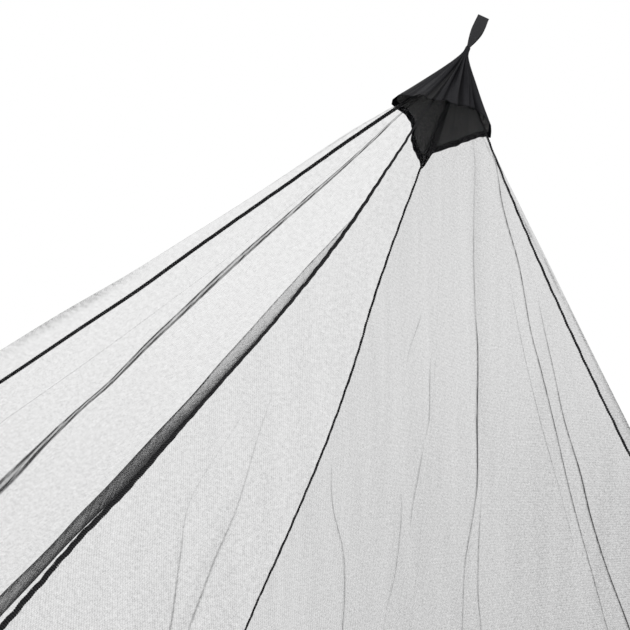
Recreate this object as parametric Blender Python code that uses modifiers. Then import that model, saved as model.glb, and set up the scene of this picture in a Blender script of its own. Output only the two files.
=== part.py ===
"""Pyramid mosquito net canopy: four net panels between four corner seams, a gathered cap and a webbing loop.

All sizes are metres unless the name ends in _MM. +Z is up, +X runs along the length of the net.
The origin is the flat underside of the top of the hanging loop, where a hook or a line carries the net.
"""
import math
from collections import namedtuple

import bmesh
import bpy
from mathutils import Matrix, Vector

MM = 0.001

# The net
NET_LENGTH = 2.44
NET_WIDTH = 1.22
RIDGE_FALL = 1.31
NET_THICKNESS = 0.0012
EDGE_TO_SEAM = 0.0042
EDGE_ROLL = 0.012
SEAM_TOP_SHARE = -0.002
SEAM_RADIUS = 0.0025
SEAM_SIDES = 8
RIDGE_ROUNDING = 0.012

# The neck, where the cap and the loop are sewn together
NECK_Z = -0.064
NECK_TO_MEETING = 0.035
NECK_RADIUS = 0.0034
CAP_THICKNESS = 0.0010
CAP_LEVELS = (0.0, 0.07, 0.18, 0.32, 0.47, 0.62, 0.77, 0.90, 1.0)
CAP_NECK_SHARE = 0.05
CAP_NECK_ROUNDING = 0.03
CAP_CLEAR = 0.0046
CAP_SEAM_CLEAR = 0.0032
CAP_CLEAR_ROUNDING = 0.0012
CAP_PULL_FROM = 0.055
CAP_STEP_DEG = 5.0

# The hanging loop
TAPE_THICKNESS = 0.0012
TAPE_COLUMNS = 4
LOOP_TURN_DEG = -19.6

MEETING_Z = NECK_Z - NECK_TO_MEETING
HALF_LENGTH = NET_LENGTH / 2
HALF_WIDTH = NET_WIDTH / 2

# One row per corner: which way it lies, how far the seam sags, and how it wanders sideways along its fall.
Ridge = namedtuple("Ridge", "x_side y_side sag_mm wander_mm")
Wander = namedtuple("Wander", "share left_mm")
RIDGES = {
    "front_left": Ridge(-1, -1, 35, (Wander(0.0, 0), Wander(0.11, 6), Wander(0.17, 5), Wander(0.24, 4),
                                     Wander(0.29, 2), Wander(0.35, -2), Wander(0.42, -1), Wander(0.50, -2),
                                     Wander(1.0, 0))),
    "front_right": Ridge(1, -1, 83, (Wander(0.0, 0), Wander(0.12, 4), Wander(0.18, 1), Wander(0.24, -1),
                                     Wander(0.33, -5), Wander(0.42, -6), Wander(0.54, -4), Wander(0.62, -1),
                                     Wander(0.72, 1), Wander(0.79, 1), Wander(0.86, 3), Wander(0.92, 1),
                                     Wander(1.0, -2))),
    "back_left": Ridge(-1, 1, 28, (Wander(0.0, 0), Wander(0.11, 2), Wander(0.18, 2), Wander(0.24, -1),
                                   Wander(0.30, -8), Wander(0.39, -10), Wander(0.48, -4), Wander(0.54, 2),
                                   Wander(0.60, 9), Wander(0.67, 13), Wander(1.0, 0))),
    "back_right": Ridge(1, 1, 73, (Wander(0.0, 0), Wander(0.16, 2), Wander(0.30, -1), Wander(1.0, 0))),
}

# How a panel lies: outward lift of the cloth from the flat face, at shares across it and down it.
LIFT_SHARES = (0.03, 0.08, 0.12, 0.24, 0.48, 0.80, 1.0)
Lift = namedtuple("Lift", "across heights_mm")
# A crease running down the panel: the shares of the fall it covers and where it lies across the panel
# at its start, middle and end.
Crease = namedtuple("Crease", "start end across_start across_middle across_end height_mm half_width_mm")
# A panel: its two seams, its columns as distances from each seam and shares of the width between them,
# and the way it lies.
Panel = namedtuple("Panel", "left right left_mm middle_shares right_mm lifts creases")

SHARES_DOWN = (0.009, 0.03, 0.06, 0.10, 0.15, 0.21, 0.28, 0.36, 0.44, 0.52, 0.60, 0.68, 0.76, 0.84, 0.92,
               0.975, 1.0)

CORNERS_ROUND = ("back_right", "back_left", "front_left", "front_right")
CORNER_BEARINGS = (26.57, 153.43, 206.57, 333.43)

PANELS = {
    "net_front": Panel(
        "front_left", "front_right", (14, 30, 52, 90), (0.14, 0.24, 0.36, 0.50, 0.64, 0.76, 0.86),
        (110, 62, 38, 26, 19, 12),
        (Lift(0.00, (0, 9, 14, 21, 48, 54, 15)), Lift(0.05, (0, 9, 14, 21, 48, 54, 15)),
         Lift(0.20, (0, 4, 6, 9, 28, 34, 8)), Lift(0.42, (0, 0, 1, 3, 8, 6, -14)),
         Lift(0.62, (0, 0, 0, 2, 2, -4, 12)), Lift(0.85, (0, 0, 0, 2, 3, 2, -8)), Lift(1.00, (0,) * 7)),
        (Crease(0.33, 1.0, 0.985, 0.972, 0.977, 14, 14), Crease(0.12, 1.0, 0.52, 0.47, 0.44, 6, 30))),
    "net_right": Panel(
        "front_right", "back_right", (14, 34, 70),
        (0.12, 0.20, 0.28, 0.36, 0.44, 0.50, 0.56, 0.62, 0.68, 0.74, 0.80, 0.88), (70, 34, 14),
        (Lift(0.00, (0,) * 7), Lift(0.15, (0, 0, 0, 3, 8, 10, 12)), Lift(0.50, (0, 0, 0, -3, -10, -12, -8)),
         Lift(0.85, (0, 0, 0, 4, 8, 10, 10)), Lift(1.00, (0,) * 7)),
        (Crease(0.10, 0.80, 0.70, 0.50, 0.42, 9, 20), Crease(0.58, 1.0, 0.17, 0.25, 0.27, 7, 24),
         Crease(0.40, 0.90, 0.36, 0.345, 0.31, 7, 26), Crease(0.20, 1.0, 0.90, 0.84, 0.80, 6, 22))),
    "net_back": Panel(
        "back_right", "back_left", (14, 34, 80), (0.12, 0.24, 0.36, 0.50, 0.64, 0.76, 0.88), (80, 34, 14),
        (Lift(0.00, (0, 3, 12, 27, 33, 24, 8)), Lift(0.06, (0, 3, 12, 27, 33, 24, 8)),
         Lift(0.35, (0, 0, 0, 2, -4, -8, -12)), Lift(0.65, (0, 0, 1, 4, 6, 4, 12)),
         Lift(0.92, (0, 1, 2, 6, 10, 8, -4)), Lift(1.00, (0,) * 7)),
        (Crease(0.10, 0.90, 0.06, 0.195, 0.200, 9, 20), Crease(0.25, 0.95, 0.125, 0.165, 0.155, 7, 16),
         Crease(0.12, 1.0, 0.60, 0.57, 0.55, 7, 30))),
    "net_left": Panel(
        "back_left", "front_left", (14, 34, 70), (0.16, 0.28, 0.40, 0.52, 0.64, 0.76, 0.86), (70, 34, 14),
        (Lift(0.00, (0,) * 7), Lift(0.20, (0, 0, 1, 5, 10, 10, 10)), Lift(0.50, (0, 0, 0, -2, -8, -10, -10)),
         Lift(0.80, (0, 0, 1, 5, 12, 12, 8)), Lift(1.00, (0,) * 7)),
        (Crease(0.06, 1.0, 0.82, 0.765, 0.73, 9, 15), Crease(0.38, 1.0, 0.35, 0.18, 0.14, 7, 24))),
}

# The edge of the cap, walked round from the right end towards the back: how far it stands out from the
# net under it, how far it hangs below the neck, how hollow its slope is above (1 is straight) and how far
# a gather pulls it in half way up. Wide gaps in bearing are broad smooth folds.
CapEdge = namedtuple("CapEdge", "bearing_deg out_mm drop_mm hollow pull_mm")
CAP_EDGE = (
    CapEdge(-27, 9.5, 176, 1.08, 4), CapEdge(-24.5, 9, 168, 1.08, -3), CapEdge(-21.5, 5.5, 158, 1.10, 9),
    CapEdge(-18.5, 8.5, 153, 1.12, 3), CapEdge(-14, 8.5, 154, 1.12, -5), CapEdge(-9, 9, 150, 1.12, -4),
    CapEdge(-5.5, 5.5, 147, 1.12, 8), CapEdge(-1, 6, 142, 1.12, 7), CapEdge(4, 9, 137, 1.12, 1),
    CapEdge(7.5, 9, 134, 1.12, -6), CapEdge(10, 5.5, 133, 1.12, 6), CapEdge(13, 12, 131, 1.12, -4),
    CapEdge(17.5, 7, 131, 1.14, 11), CapEdge(22, 15, 136, 1.15, 1), CapEdge(25.5, 17, 152, 1.16, -3),
    CapEdge(28, 13, 171, 1.16, 0), CapEdge(32, 12.5, 165, 1.12, 2), CapEdge(41, 12, 160, 1.06, 0),
    CapEdge(60, 12, 157, 1.04, -2), CapEdge(81, 8, 157, 1.04, 2), CapEdge(102, 12, 155, 1.04, -2),
    CapEdge(122, 8, 156, 1.04, 2), CapEdge(137, 8, 156, 1.02, 0), CapEdge(148, 8, 155, 1.00, 3),
    CapEdge(153.4, 9, 172, 1.00, -3), CapEdge(158, 8, 163, 1.00, 0), CapEdge(164, 9, 157, 1.00, 0),
    CapEdge(171, 8, 149, 1.00, 0), CapEdge(177, 9, 134, 1.00, 2), CapEdge(184, 11, 127, 1.00, -1),
    CapEdge(195, 9, 124, 1.00, 3), CapEdge(204.5, 10, 124, 1.04, 3), CapEdge(208, 20, 120, 1.12, 0),
    CapEdge(214, 30, 116, 1.18, -1), CapEdge(228, 28, 119, 1.20, -1), CapEdge(241, 24, 124, 1.20, -1),
    CapEdge(260, 17, 130, 1.20, 1), CapEdge(275, 12, 134, 1.20, 0), CapEdge(290, 13, 138, 1.18, 0),
    CapEdge(304, 14, 140, 1.16, -1), CapEdge(312, 12, 144, 1.14, 3), CapEdge(320, 8, 151, 1.12, 8),
    CapEdge(327, 8, 165, 1.10, 12), CapEdge(330.5, 9, 171, 1.09, 10), CapEdge(333, 9.5, 176, 1.08, 4),
)

# The webbing from one sewn end, over the top and down to the other: centre line and width.
Tape = namedtuple("Tape", "forward_mm up_mm side_mm width_mm hollow_mm")
TAPE_PATH = (
    Tape(0.9, -77.0, 0.0, 3.4, 0.4), Tape(0.9, -64.0, 0.0, 3.4, 0.5), Tape(1.1, -58.0, 0.0, 7.0, 0.8),
    Tape(2.0, -45.0, 0.3, 13.2, 1.0), Tape(3.0, -29.0, 0.9, 18.6, 0.8), Tape(3.7, -13.0, 1.5, 19.8, 0.4),
    Tape(3.8, -4.5, 1.8, 20.0, 0.1), Tape(3.6, -1.4, 1.9, 20.0, 0.0), Tape(2.8, 0.3, 2.0, 20.0, 0.0),
    Tape(1.8, 0.6, 2.0, 20.0, 0.0), Tape(0.0, 0.6, 2.0, 20.0, 0.0), Tape(-1.8, 0.6, 2.0, 20.0, 0.0),
    Tape(-2.8, 0.3, 2.0, 20.0, 0.0), Tape(-3.6, -1.4, 2.1, 20.0, 0.0), Tape(-3.8, -4.5, 2.3, 20.0, 0.1),
    Tape(-3.7, -13.0, 2.9, 19.8, 0.4), Tape(-3.0, -29.0, 2.9, 18.6, 0.8),
    Tape(-2.0, -45.0, 1.7, 13.2, 1.0), Tape(-1.1, -58.0, 0.3, 7.0, 0.8), Tape(-0.9, -64.0, 0.0, 3.4, 0.5),
    Tape(-0.9, -77.0, 0.0, 3.4, 0.4),
)

NET_BLACK = ((0.030, 0.030, 0.034, 1.0), 0.85)
SEAM_BLACK = ((0.016, 0.016, 0.018, 1.0), 0.80)
CAP_BLACK = ((0.040, 0.040, 0.046, 1.0), 0.48)
TAPE_BLACK = ((0.050, 0.050, 0.056, 1.0), 0.70)


def clear_scene():
    """Remove every object that is already in the file."""
    for item in list(bpy.data.objects):
        bpy.data.objects.remove(item, do_unlink=True)


def make_finish(name, look):
    """Return a cloth finish with the given colour and roughness."""
    colour, roughness = look
    finish = bpy.data.materials.new(name)
    finish.use_nodes = True
    shader = finish.node_tree.nodes["Principled BSDF"]
    shader.inputs["Base Color"].default_value = colour
    shader.inputs["Roughness"].default_value = roughness
    shader.inputs["Metallic"].default_value = 0.0
    finish.diffuse_color = colour
    return finish


def eased(value):
    """Return a smooth step of a share between 0 and 1."""
    held = min(max(value, 0.0), 1.0)
    return held * held * (3.0 - 2.0 * held)


def between(rows, position):
    """Blend the (position, value) rows smoothly at one position."""
    if position <= rows[0][0]:
        return rows[0][1]
    for before, after in zip(rows, rows[1:]):
        if position <= after[0]:
            share = eased((position - before[0]) / (after[0] - before[0]))
            return before[1] + (after[1] - before[1]) * share
    return rows[-1][1]


def flowing(rows, position):
    """Follow a smooth curve through the (position, value) rows to one position."""
    if position <= rows[0][0]:
        return rows[0][1]
    if position >= rows[-1][0]:
        return rows[-1][1]
    index = max(number for number, row in enumerate(rows[:-1]) if row[0] <= position)
    slopes = []
    for number in (index, index + 1):
        low, high = rows[max(number - 1, 0)], rows[min(number + 1, len(rows) - 1)]
        slopes.append((high[1] - low[1]) / (high[0] - low[0]))
    start, end = rows[index], rows[index + 1]
    span = end[0] - start[0]
    run = (position - start[0]) / span
    bend = run * (1.0 - run) * span
    return start[1] + (end[1] - start[1]) * eased(run) + bend * ((1.0 - run) * slopes[0] - run * slopes[1])


def ridge_point(name, share):
    """Return the seam line of one corner at a share of its fall, above the meeting point if negative."""
    ridge = RIDGES[name]
    spread = 0.5 * (share + math.sqrt(share * share + RIDGE_ROUNDING * RIDGE_ROUNDING))
    held = min(max(share, 0.0), 1.0)
    sag = ridge.sag_mm * MM * 4.0 * held * (1.0 - held)
    wander = flowing([(row.share, row.left_mm) for row in ridge.wander_mm], held) * MM
    along = Vector((ridge.x_side * HALF_LENGTH, ridge.y_side * HALF_WIDTH, 0.0)).normalized()
    sideways = Vector((along.y, -along.x, 0.0))
    if sideways.y > 0:
        sideways.negate()
    point = Vector((ridge.x_side * HALF_LENGTH * spread, ridge.y_side * HALF_WIDTH * spread, MEETING_Z))
    point.z -= RIDGE_FALL * share + sag
    return point + sideways * wander


def face_normal(panel):
    """Return the outward direction of the flat face between the two seams of a panel."""
    top = Vector((0.0, 0.0, MEETING_Z))
    first = ridge_point(panel.left, 1.0) - top
    second = ridge_point(panel.right, 1.0) - top
    normal = first.cross(second).normalized()
    middle = first + second
    if normal.x * middle.x + normal.y * middle.y < 0:
        normal.negate()
    return normal


def panel_lift(panel, across, share):
    """Return how far the cloth stands out from the flat face at one place."""
    columns = []
    for row in panel.lifts:
        columns.append((row.across, flowing(list(zip(LIFT_SHARES, row.heights_mm)), share)))
    return between(columns, across) * MM


def crease_lift(crease, across, share, width):
    """Return the height that one crease adds at one place of a panel of the given width there."""
    span = crease.end - crease.start
    run = (share - crease.start) / span
    if run <= 0.0 or run > 1.0:
        return 0.0
    path = ((0.0, crease.across_start), (0.5, crease.across_middle), (1.0, crease.across_end))
    centre = between(path, run)
    distance = (across - centre) * width
    spread = crease.half_width_mm * MM * (0.55 + 0.45 * run)
    return crease.height_mm * MM * eased(run * 3.0) * math.exp(-(distance / spread) ** 2)


def edge_inset(panel):
    """Return how far along the hem direction a panel stops short of its seam lines."""
    left = (ridge_point(panel.left, 1.0) - ridge_point(panel.left, 0.1)).normalized()
    hem = (ridge_point(panel.right, 1.0) - ridge_point(panel.left, 1.0)).normalized()
    return EDGE_TO_SEAM / hem.cross(left).length


def columns_from_edge(inset, distances_mm, step):
    """Return the places of the columns next to one seam, closer together where the panel is narrow."""
    places = [inset]
    reach = step
    for distance in distances_mm:
        reach += step
        places.append(inset + 1.0 / (1.0 / (distance * MM) + 1.0 / reach))
    return places


def across_shares(panel, width):
    """Return the places of the columns of one row, as shares of its width."""
    inset = edge_inset(panel)
    places = columns_from_edge(inset, panel.left_mm, 0.05 * width)
    mirrored = columns_from_edge(inset, tuple(reversed(panel.right_mm)), 0.025 * width)
    first = places[-1] / width
    last = 1.0 - mirrored[-1] / width
    low = panel.middle_shares[0]
    high = panel.middle_shares[-1]
    margin = 0.10 * (last - first)
    middle = []
    for share in panel.middle_shares:
        middle.append(first + margin + (last - first - 2.0 * margin) * (share - low) / (high - low))
    near_left = [place / width for place in places]
    near_right = [1.0 - place / width for place in reversed(mirrored)]
    return near_left + middle + near_right


def panel_point(panel, normal, across, share):
    """Return one point of a hanging net panel."""
    left = ridge_point(panel.left, share)
    right = ridge_point(panel.right, share)
    width = (right - left).length
    lift = panel_lift(panel, across, share)
    for crease in panel.creases:
        lift += crease_lift(crease, across, share, width)
    clear = min(across, 1.0 - across) * width - edge_inset(panel)
    lift *= eased(clear / EDGE_ROLL)
    return left + (right - left) * across + normal * lift


def add_sheet(name, columns, rows, place, thickness, finish, collection):
    """Add a cloth sheet: a grid of columns by rows set out by place(column, row), then thickened."""
    mesh = bpy.data.meshes.new(name)
    grid = bmesh.new()
    bmesh.ops.create_grid(grid, x_segments=columns, y_segments=rows, size=1.0)
    for vertex in grid.verts:
        column = round((vertex.co.x + 1.0) / 2.0 * columns)
        row = round((vertex.co.y + 1.0) / 2.0 * rows)
        vertex.co = place(column, row)
    for face in grid.faces:
        face.smooth = True
    grid.to_mesh(mesh)
    grid.free()
    sheet = bpy.data.objects.new(name, mesh)
    collection.objects.link(sheet)
    sheet.data.materials.append(finish)
    body = sheet.modifiers.new("thickness", "SOLIDIFY")
    body.thickness = thickness
    body.offset = 0.0
    body.use_even_offset = True
    body.use_quality_normals = True
    return sheet


def add_panel(name, finish, collection):
    """Add one net panel between its two seams."""
    panel = PANELS[name]
    normal = face_normal(panel)
    widths = [(ridge_point(panel.right, share) - ridge_point(panel.left, share)).length
              for share in SHARES_DOWN]
    shares = [across_shares(panel, width) for width in widths]

    def place(column, row):
        return panel_point(panel, normal, shares[row][column], SHARES_DOWN[row])

    columns = len(shares[0]) - 1
    return add_sheet(name, columns, len(SHARES_DOWN) - 1, place, NET_THICKNESS, finish, collection)


def add_seam(corner, finish, collection):
    """Add the rolled seam of one corner as a round cord along its ridge line."""
    name = "seam_" + corner
    curve = bpy.data.curves.new(name, "CURVE")
    curve.dimensions = "3D"
    curve.bevel_depth = SEAM_RADIUS
    curve.bevel_resolution = SEAM_SIDES // 4
    curve.use_fill_caps = True
    shares = (SEAM_TOP_SHARE, 0.0, 0.015) + SHARES_DOWN[1:]
    line = curve.splines.new("POLY")
    line.points.add(len(shares) - 1)
    for point, share in zip(line.points, shares):
        place = ridge_point(corner, share)
        point.co = (place.x, place.y, place.z, 1.0)
    line.use_smooth = True
    seam = bpy.data.objects.new(name, curve)
    collection.objects.link(seam)
    seam.data.materials.append(finish)
    close = seam.modifiers.new("closed ends", "WELD")
    close.merge_threshold = 0.00001
    return seam


def ridge_at_drop(name, drop):
    """Return the seam of one corner where it is a given drop below the neck."""
    low = SEAM_TOP_SHARE
    high = 0.5
    for _ in range(30):
        middle = (low + high) / 2.0
        if NECK_Z - ridge_point(name, middle).z < drop:
            low = middle
        else:
            high = middle
    return ridge_point(name, low)


def net_reach(bearing, drop):
    """Return how far the net stands from the middle line on one bearing, at a drop below the neck."""
    corners = [ridge_at_drop(name, drop) for name in CORNERS_ROUND]
    way = Vector((math.cos(bearing), math.sin(bearing)))
    reaches = []
    for first, second in zip(corners, corners[1:] + corners[:1]):
        side = Vector((second.x - first.x, second.y - first.y))
        turn = way.x * side.y - way.y * side.x
        if abs(turn) > 1e-9:
            reaches.append((first.x * side.y - first.y * side.x) / turn)
    return min(reach for reach in reaches if reach > 0.0)


def cap_column(bearing_deg):
    """Return the net's reach under the cap's edge, and how the cap lies over it, on one bearing."""
    rows = list(zip(*CAP_EDGE))
    out, drop, hollow, pull = (between(list(zip(rows[0], values)), bearing_deg) for values in rows[1:])
    return net_reach(math.radians(bearing_deg), drop * MM), out * MM, drop * MM, hollow, pull * MM


def cap_spread(share):
    """Return how far out the cap's slope has come at a share of its drop, close to the neck at first."""
    run = share - CAP_NECK_SHARE
    whole = 1.0 - CAP_NECK_SHARE
    return (run + math.hypot(run, CAP_NECK_ROUNDING)) / (whole + math.hypot(whole, CAP_NECK_ROUNDING))


def cap_least(bearing, reach, edge_drop, drop):
    """Return how far out the cap must stay at a drop below the neck to clear the net and its seams."""
    below = (drop - NECK_TO_MEETING) / (edge_drop - NECK_TO_MEETING)
    under = reach * 0.5 * (below + math.hypot(below, 0.12))
    sideways = min(under * abs(math.sin(bearing - math.radians(corner))) for corner in CORNER_BEARINGS)
    under += CAP_CLEAR + CAP_SEAM_CLEAR * math.exp(-(sideways / 0.007) ** 2)
    return NECK_RADIUS + (under - NECK_RADIUS) * eased((drop - 0.008) / 0.024)


def cap_out(bearing, slope, share):
    """Return how far out the cap stands at a share of its drop."""
    reach, out, drop, hollow, pull = slope
    place = NECK_RADIUS + (reach + out - NECK_RADIUS) * cap_spread(share) ** hollow
    place -= pull * math.sin(math.pi * share ** 0.75) * eased(place / CAP_PULL_FROM)
    least = cap_least(bearing, reach, drop, drop * share)
    return least + 0.5 * (place - least + math.hypot(place - least, CAP_CLEAR_ROUNDING))


def cap_bearings():
    """Return the bearings of the cap's columns: every row of its table and even steps between them."""
    bearings = []
    for before, after in zip(CAP_EDGE, CAP_EDGE[1:]):
        gap = after.bearing_deg - before.bearing_deg
        steps = max(2, round(gap / CAP_STEP_DEG))
        bearings.extend(before.bearing_deg + gap * step / steps for step in range(steps))
    return bearings


def add_cap(finish, collection):
    """Add the gathered cap: straight folds from the neck down to its uneven edge."""
    bearings = cap_bearings()
    slopes = [cap_column(bearing_deg) for bearing_deg in bearings]

    def place(column, row):
        bearing = math.radians(bearings[column % len(bearings)])
        slope = slopes[column % len(bearings)]
        share = CAP_LEVELS[row]
        out = cap_out(bearing, slope, share)
        return Vector((out * math.cos(bearing), out * math.sin(bearing), NECK_Z - slope[2] * share))

    cap = add_sheet("cap", len(bearings), len(CAP_LEVELS) - 1, place, CAP_THICKNESS, finish, collection)
    seam = bmesh.new()
    seam.from_mesh(cap.data)
    bmesh.ops.remove_doubles(seam, verts=seam.verts[:], dist=0.00001)
    seam.to_mesh(cap.data)
    seam.free()
    return cap


def tape_frame(index):
    """Return the place and the outward direction of the webbing at one step of its path."""
    rows = TAPE_PATH
    before = rows[max(index - 1, 0)]
    after = rows[min(index + 1, len(rows) - 1)]
    run = Vector((after.forward_mm - before.forward_mm, 0.0, after.up_mm - before.up_mm)).normalized()
    here = rows[index]
    return Vector((here.forward_mm, here.side_mm, here.up_mm)) * MM, Vector((run.z, 0.0, -run.x))


def add_loop(finish, collection):
    """Add the hanging loop: flat webbing pinched at its sewn ends, turned a little on the net."""
    turn = Matrix.Rotation(math.radians(LOOP_TURN_DEG), 3, "Z")

    def place(column, row):
        here = TAPE_PATH[row]
        centre, outward = tape_frame(row)
        share = column / TAPE_COLUMNS * 2.0 - 1.0
        bow = here.hollow_mm * MM * (1.0 - share * share)
        return turn @ (centre + Vector((0.0, here.width_mm * MM / 2.0 * share, 0.0)) + outward * bow)

    rows = len(TAPE_PATH) - 1
    return add_sheet("hanging_loop", TAPE_COLUMNS, rows, place, TAPE_THICKNESS, finish, collection)


def main():
    """Build the canopy."""
    clear_scene()
    collection = bpy.data.collections.new("mosquito_net_canopy")
    bpy.context.scene.collection.children.link(collection)
    for name in PANELS:
        add_panel(name, make_finish(name + "_net", NET_BLACK), collection)
    for corner in RIDGES:
        add_seam(corner, make_finish("seam_" + corner + "_thread", SEAM_BLACK), collection)
    add_cap(make_finish("cap_cloth", CAP_BLACK), collection)
    add_loop(make_finish("loop_webbing", TAPE_BLACK), collection)


main()
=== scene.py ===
"""Looks of a pyramid mosquito net canopy: sheer net, overlocked corner seams, gathered cap, webbing loop.

Sizes are metres unless a name ends in _mm. +Z is up, +X runs along the net's length, and the origin is the
flat underside of the top of the hanging loop.
"""

import logging
import math
import random
from dataclasses import dataclass
from enum import Enum
from typing import Iterable, Sequence

import bmesh
import bpy
from mathutils import Matrix, Vector


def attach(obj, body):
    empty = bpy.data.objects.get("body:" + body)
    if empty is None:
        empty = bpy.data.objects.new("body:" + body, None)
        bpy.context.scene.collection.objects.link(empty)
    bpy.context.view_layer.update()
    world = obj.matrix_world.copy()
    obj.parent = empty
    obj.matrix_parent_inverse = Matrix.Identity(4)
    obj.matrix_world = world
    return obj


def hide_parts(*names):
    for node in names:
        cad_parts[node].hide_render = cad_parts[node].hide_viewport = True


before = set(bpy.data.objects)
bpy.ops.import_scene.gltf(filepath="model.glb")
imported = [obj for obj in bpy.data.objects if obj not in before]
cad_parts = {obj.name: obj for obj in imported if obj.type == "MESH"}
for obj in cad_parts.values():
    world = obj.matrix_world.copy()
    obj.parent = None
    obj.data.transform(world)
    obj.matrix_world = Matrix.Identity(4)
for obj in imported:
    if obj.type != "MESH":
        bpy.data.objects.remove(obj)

LOG = logging.getLogger("net_canopy")
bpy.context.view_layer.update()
MM = 0.001
BODY = "root"

NET_LENGTH = 2.44
NET_WIDTH = 1.22
RIDGE_FALL = 1.31
NECK_Z = -0.064
MEETING_Z = -0.099
RIDGE_ROUNDING = 0.012

NET_LINT = (0.05, 0.05, 0.055)
CLOTH_LINT = (0.06, 0.06, 0.065)
CLOSEST_NET = 0.96

Rows = Sequence[tuple[float, ...]]
Colour = tuple[float, float, float]


def eased(value: float) -> float:
    """Return a share, held between 0 and 1, as a smooth step."""
    held = min(max(value, 0.0), 1.0)
    return held * held * (3.0 - 2.0 * held)


def stepped(rows: Rows, position: float, column: int = 1) -> float:
    """Blend a table level by level, flat at each of its rows.

    Args:
        rows: table rows whose first entry is the position.
        position: where to read the table.
        column: which entry of the rows to blend.

    Returns:
        The blended value.
    """
    if position <= rows[0][0]:
        return rows[0][column]
    for before, after in zip(rows, rows[1:]):
        if position <= after[0]:
            share = eased((position - before[0]) / (after[0] - before[0]))
            return before[column] + (after[column] - before[column]) * share
    return rows[-1][column]


def flowing(rows: Rows, position: float, column: int = 1) -> float:
    """Read a table along a smooth curve through its rows.

    Args:
        rows: table rows whose first entry is the position.
        position: where to read the table.
        column: which entry of the rows to follow.

    Returns:
        The value on the curve.
    """
    if position <= rows[0][0]:
        return rows[0][column]
    if position >= rows[-1][0]:
        return rows[-1][column]
    index = max(number for number, row in enumerate(rows[:-1]) if row[0] <= position)

    def slope(number: int) -> float:
        """Return the slope of the curve at one row."""
        low, high = max(number - 1, 0), min(number + 1, len(rows) - 1)
        return (rows[high][column] - rows[low][column]) / (rows[high][0] - rows[low][0])

    start, end = rows[index], rows[index + 1]
    span = end[0] - start[0]
    t = (position - start[0]) / span
    square, cube = t * t, t * t * t
    return (
        start[column] * (2 * cube - 3 * square + 1)
        + slope(index) * span * (cube - 2 * square + t)
        + end[column] * (3 * square - 2 * cube)
        + slope(index + 1) * span * (cube - square)
    )


def spaced(start: float, end: float, count: int) -> list[float]:
    """Return a count of evenly spaced places between a start and an end, which are left out."""
    return [start + (end - start) * (number + 1) / (count + 1) for number in range(count)]


# ---------------------------------------------------------------------------------------------------------
# Finishes


class NodePen:
    """Adds nodes to one tree and joins them."""

    def __init__(self, tree: bpy.types.NodeTree) -> None:
        """Keep the tree to write in."""
        self.tree = tree
        self.count = 0

    def node(self, kind: str, **settings: object) -> bpy.types.Node:
        """Add a node.

        Args:
            kind: the node's type name without its ShaderNode prefix, or a full type name.
            **settings: properties to set on it.

        Returns:
            The new node.
        """
        full = kind if kind.startswith("Node") else "ShaderNode" + kind
        made = self.tree.nodes.new(full)
        made.location = (190.0 * (self.count % 8), -230.0 * (self.count // 8))
        self.count += 1
        for name, value in settings.items():
            setattr(made, name, value)
        return made

    def feed(self, socket: bpy.types.NodeSocket, source: object) -> None:
        """Set a socket to a plain value, or join another node's output to it.

        Args:
            socket: the input.
            source: a number, a colour or an output socket.
        """
        if isinstance(source, bpy.types.NodeSocket):
            self.tree.links.new(source, socket)
        else:
            socket.default_value = source

    def sum(self, operation: str, *terms: object, clamp: bool = False) -> bpy.types.NodeSocket:
        """Add a Math node.

        Args:
            operation: its operation.
            *terms: its inputs, numbers or output sockets.
            clamp: whether the result is held between 0 and 1.

        Returns:
            Its output.
        """
        made = self.node("Math", operation=operation, use_clamp=clamp)
        for socket, term in zip(made.inputs, terms):
            self.feed(socket, term)
        return made.outputs[0]

    def ranged(
        self, value: object, low: float, high: float, to_low: float, to_high: float
    ) -> bpy.types.NodeSocket:
        """Add a clamped Map Range node.

        Args:
            value: the value to carry over.
            low: where the old range starts.
            high: where it ends.
            to_low: where the new range starts.
            to_high: where it ends.

        Returns:
            Its output.
        """
        made = self.node("MapRange")
        names = ("Value", "From Min", "From Max", "To Min", "To Max")
        for name, term in zip(names, (value, low, high, to_low, to_high)):
            self.feed(made.inputs[name], term)
        return made.outputs["Result"]

    def mixed(self, share: object, first: object, second: object) -> bpy.types.NodeSocket:
        """Add a colour Mix node.

        Args:
            share: how much of the second colour shows.
            first: a colour or an output socket.
            second: a colour or an output socket.

        Returns:
            The mixed colour.
        """
        made = self.node("Mix", data_type="RGBA")
        self.feed(made.inputs["Factor"], share)
        self.feed(made.inputs[6], first if isinstance(first, bpy.types.NodeSocket) else (*first, 1.0))
        self.feed(made.inputs[7], second if isinstance(second, bpy.types.NodeSocket) else (*second, 1.0))
        return made.outputs[2]

    def moved(self, vector: object, scale: tuple[float, float, float]) -> bpy.types.NodeSocket:
        """Add a Mapping node that only scales.

        Args:
            vector: the coordinates.
            scale: the three scales.

        Returns:
            The scaled coordinates.
        """
        made = self.node("Mapping")
        self.feed(made.inputs["Vector"], vector)
        made.inputs["Scale"].default_value = scale
        return made.outputs["Vector"]

    def noise(self, vector: object, scale: float, detail: float = 2.0) -> bpy.types.NodeSocket:
        """Add a Noise texture.

        Args:
            vector: the coordinates.
            scale: how fine it is.
            detail: how many octaves it has.

        Returns:
            Its value.
        """
        made = self.node("TexNoise")
        self.feed(made.inputs["Vector"], vector)
        made.inputs["Scale"].default_value = scale
        made.inputs["Detail"].default_value = detail
        return made.outputs["Fac"]

    def effect(self, tree: bpy.types.NodeTree, vector: object, amounts: dict[str, float]) -> bpy.types.Node:
        """Add one of the shared effects.

        Args:
            tree: its node group.
            vector: the coordinates that it reads.
            amounts: the values of its other inputs.

        Returns:
            Its node.
        """
        made = self.node("Group", node_tree=tree)
        self.feed(made.inputs["Vector"], vector)
        for name, value in amounts.items():
            made.inputs[name].default_value = value
        return made


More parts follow.
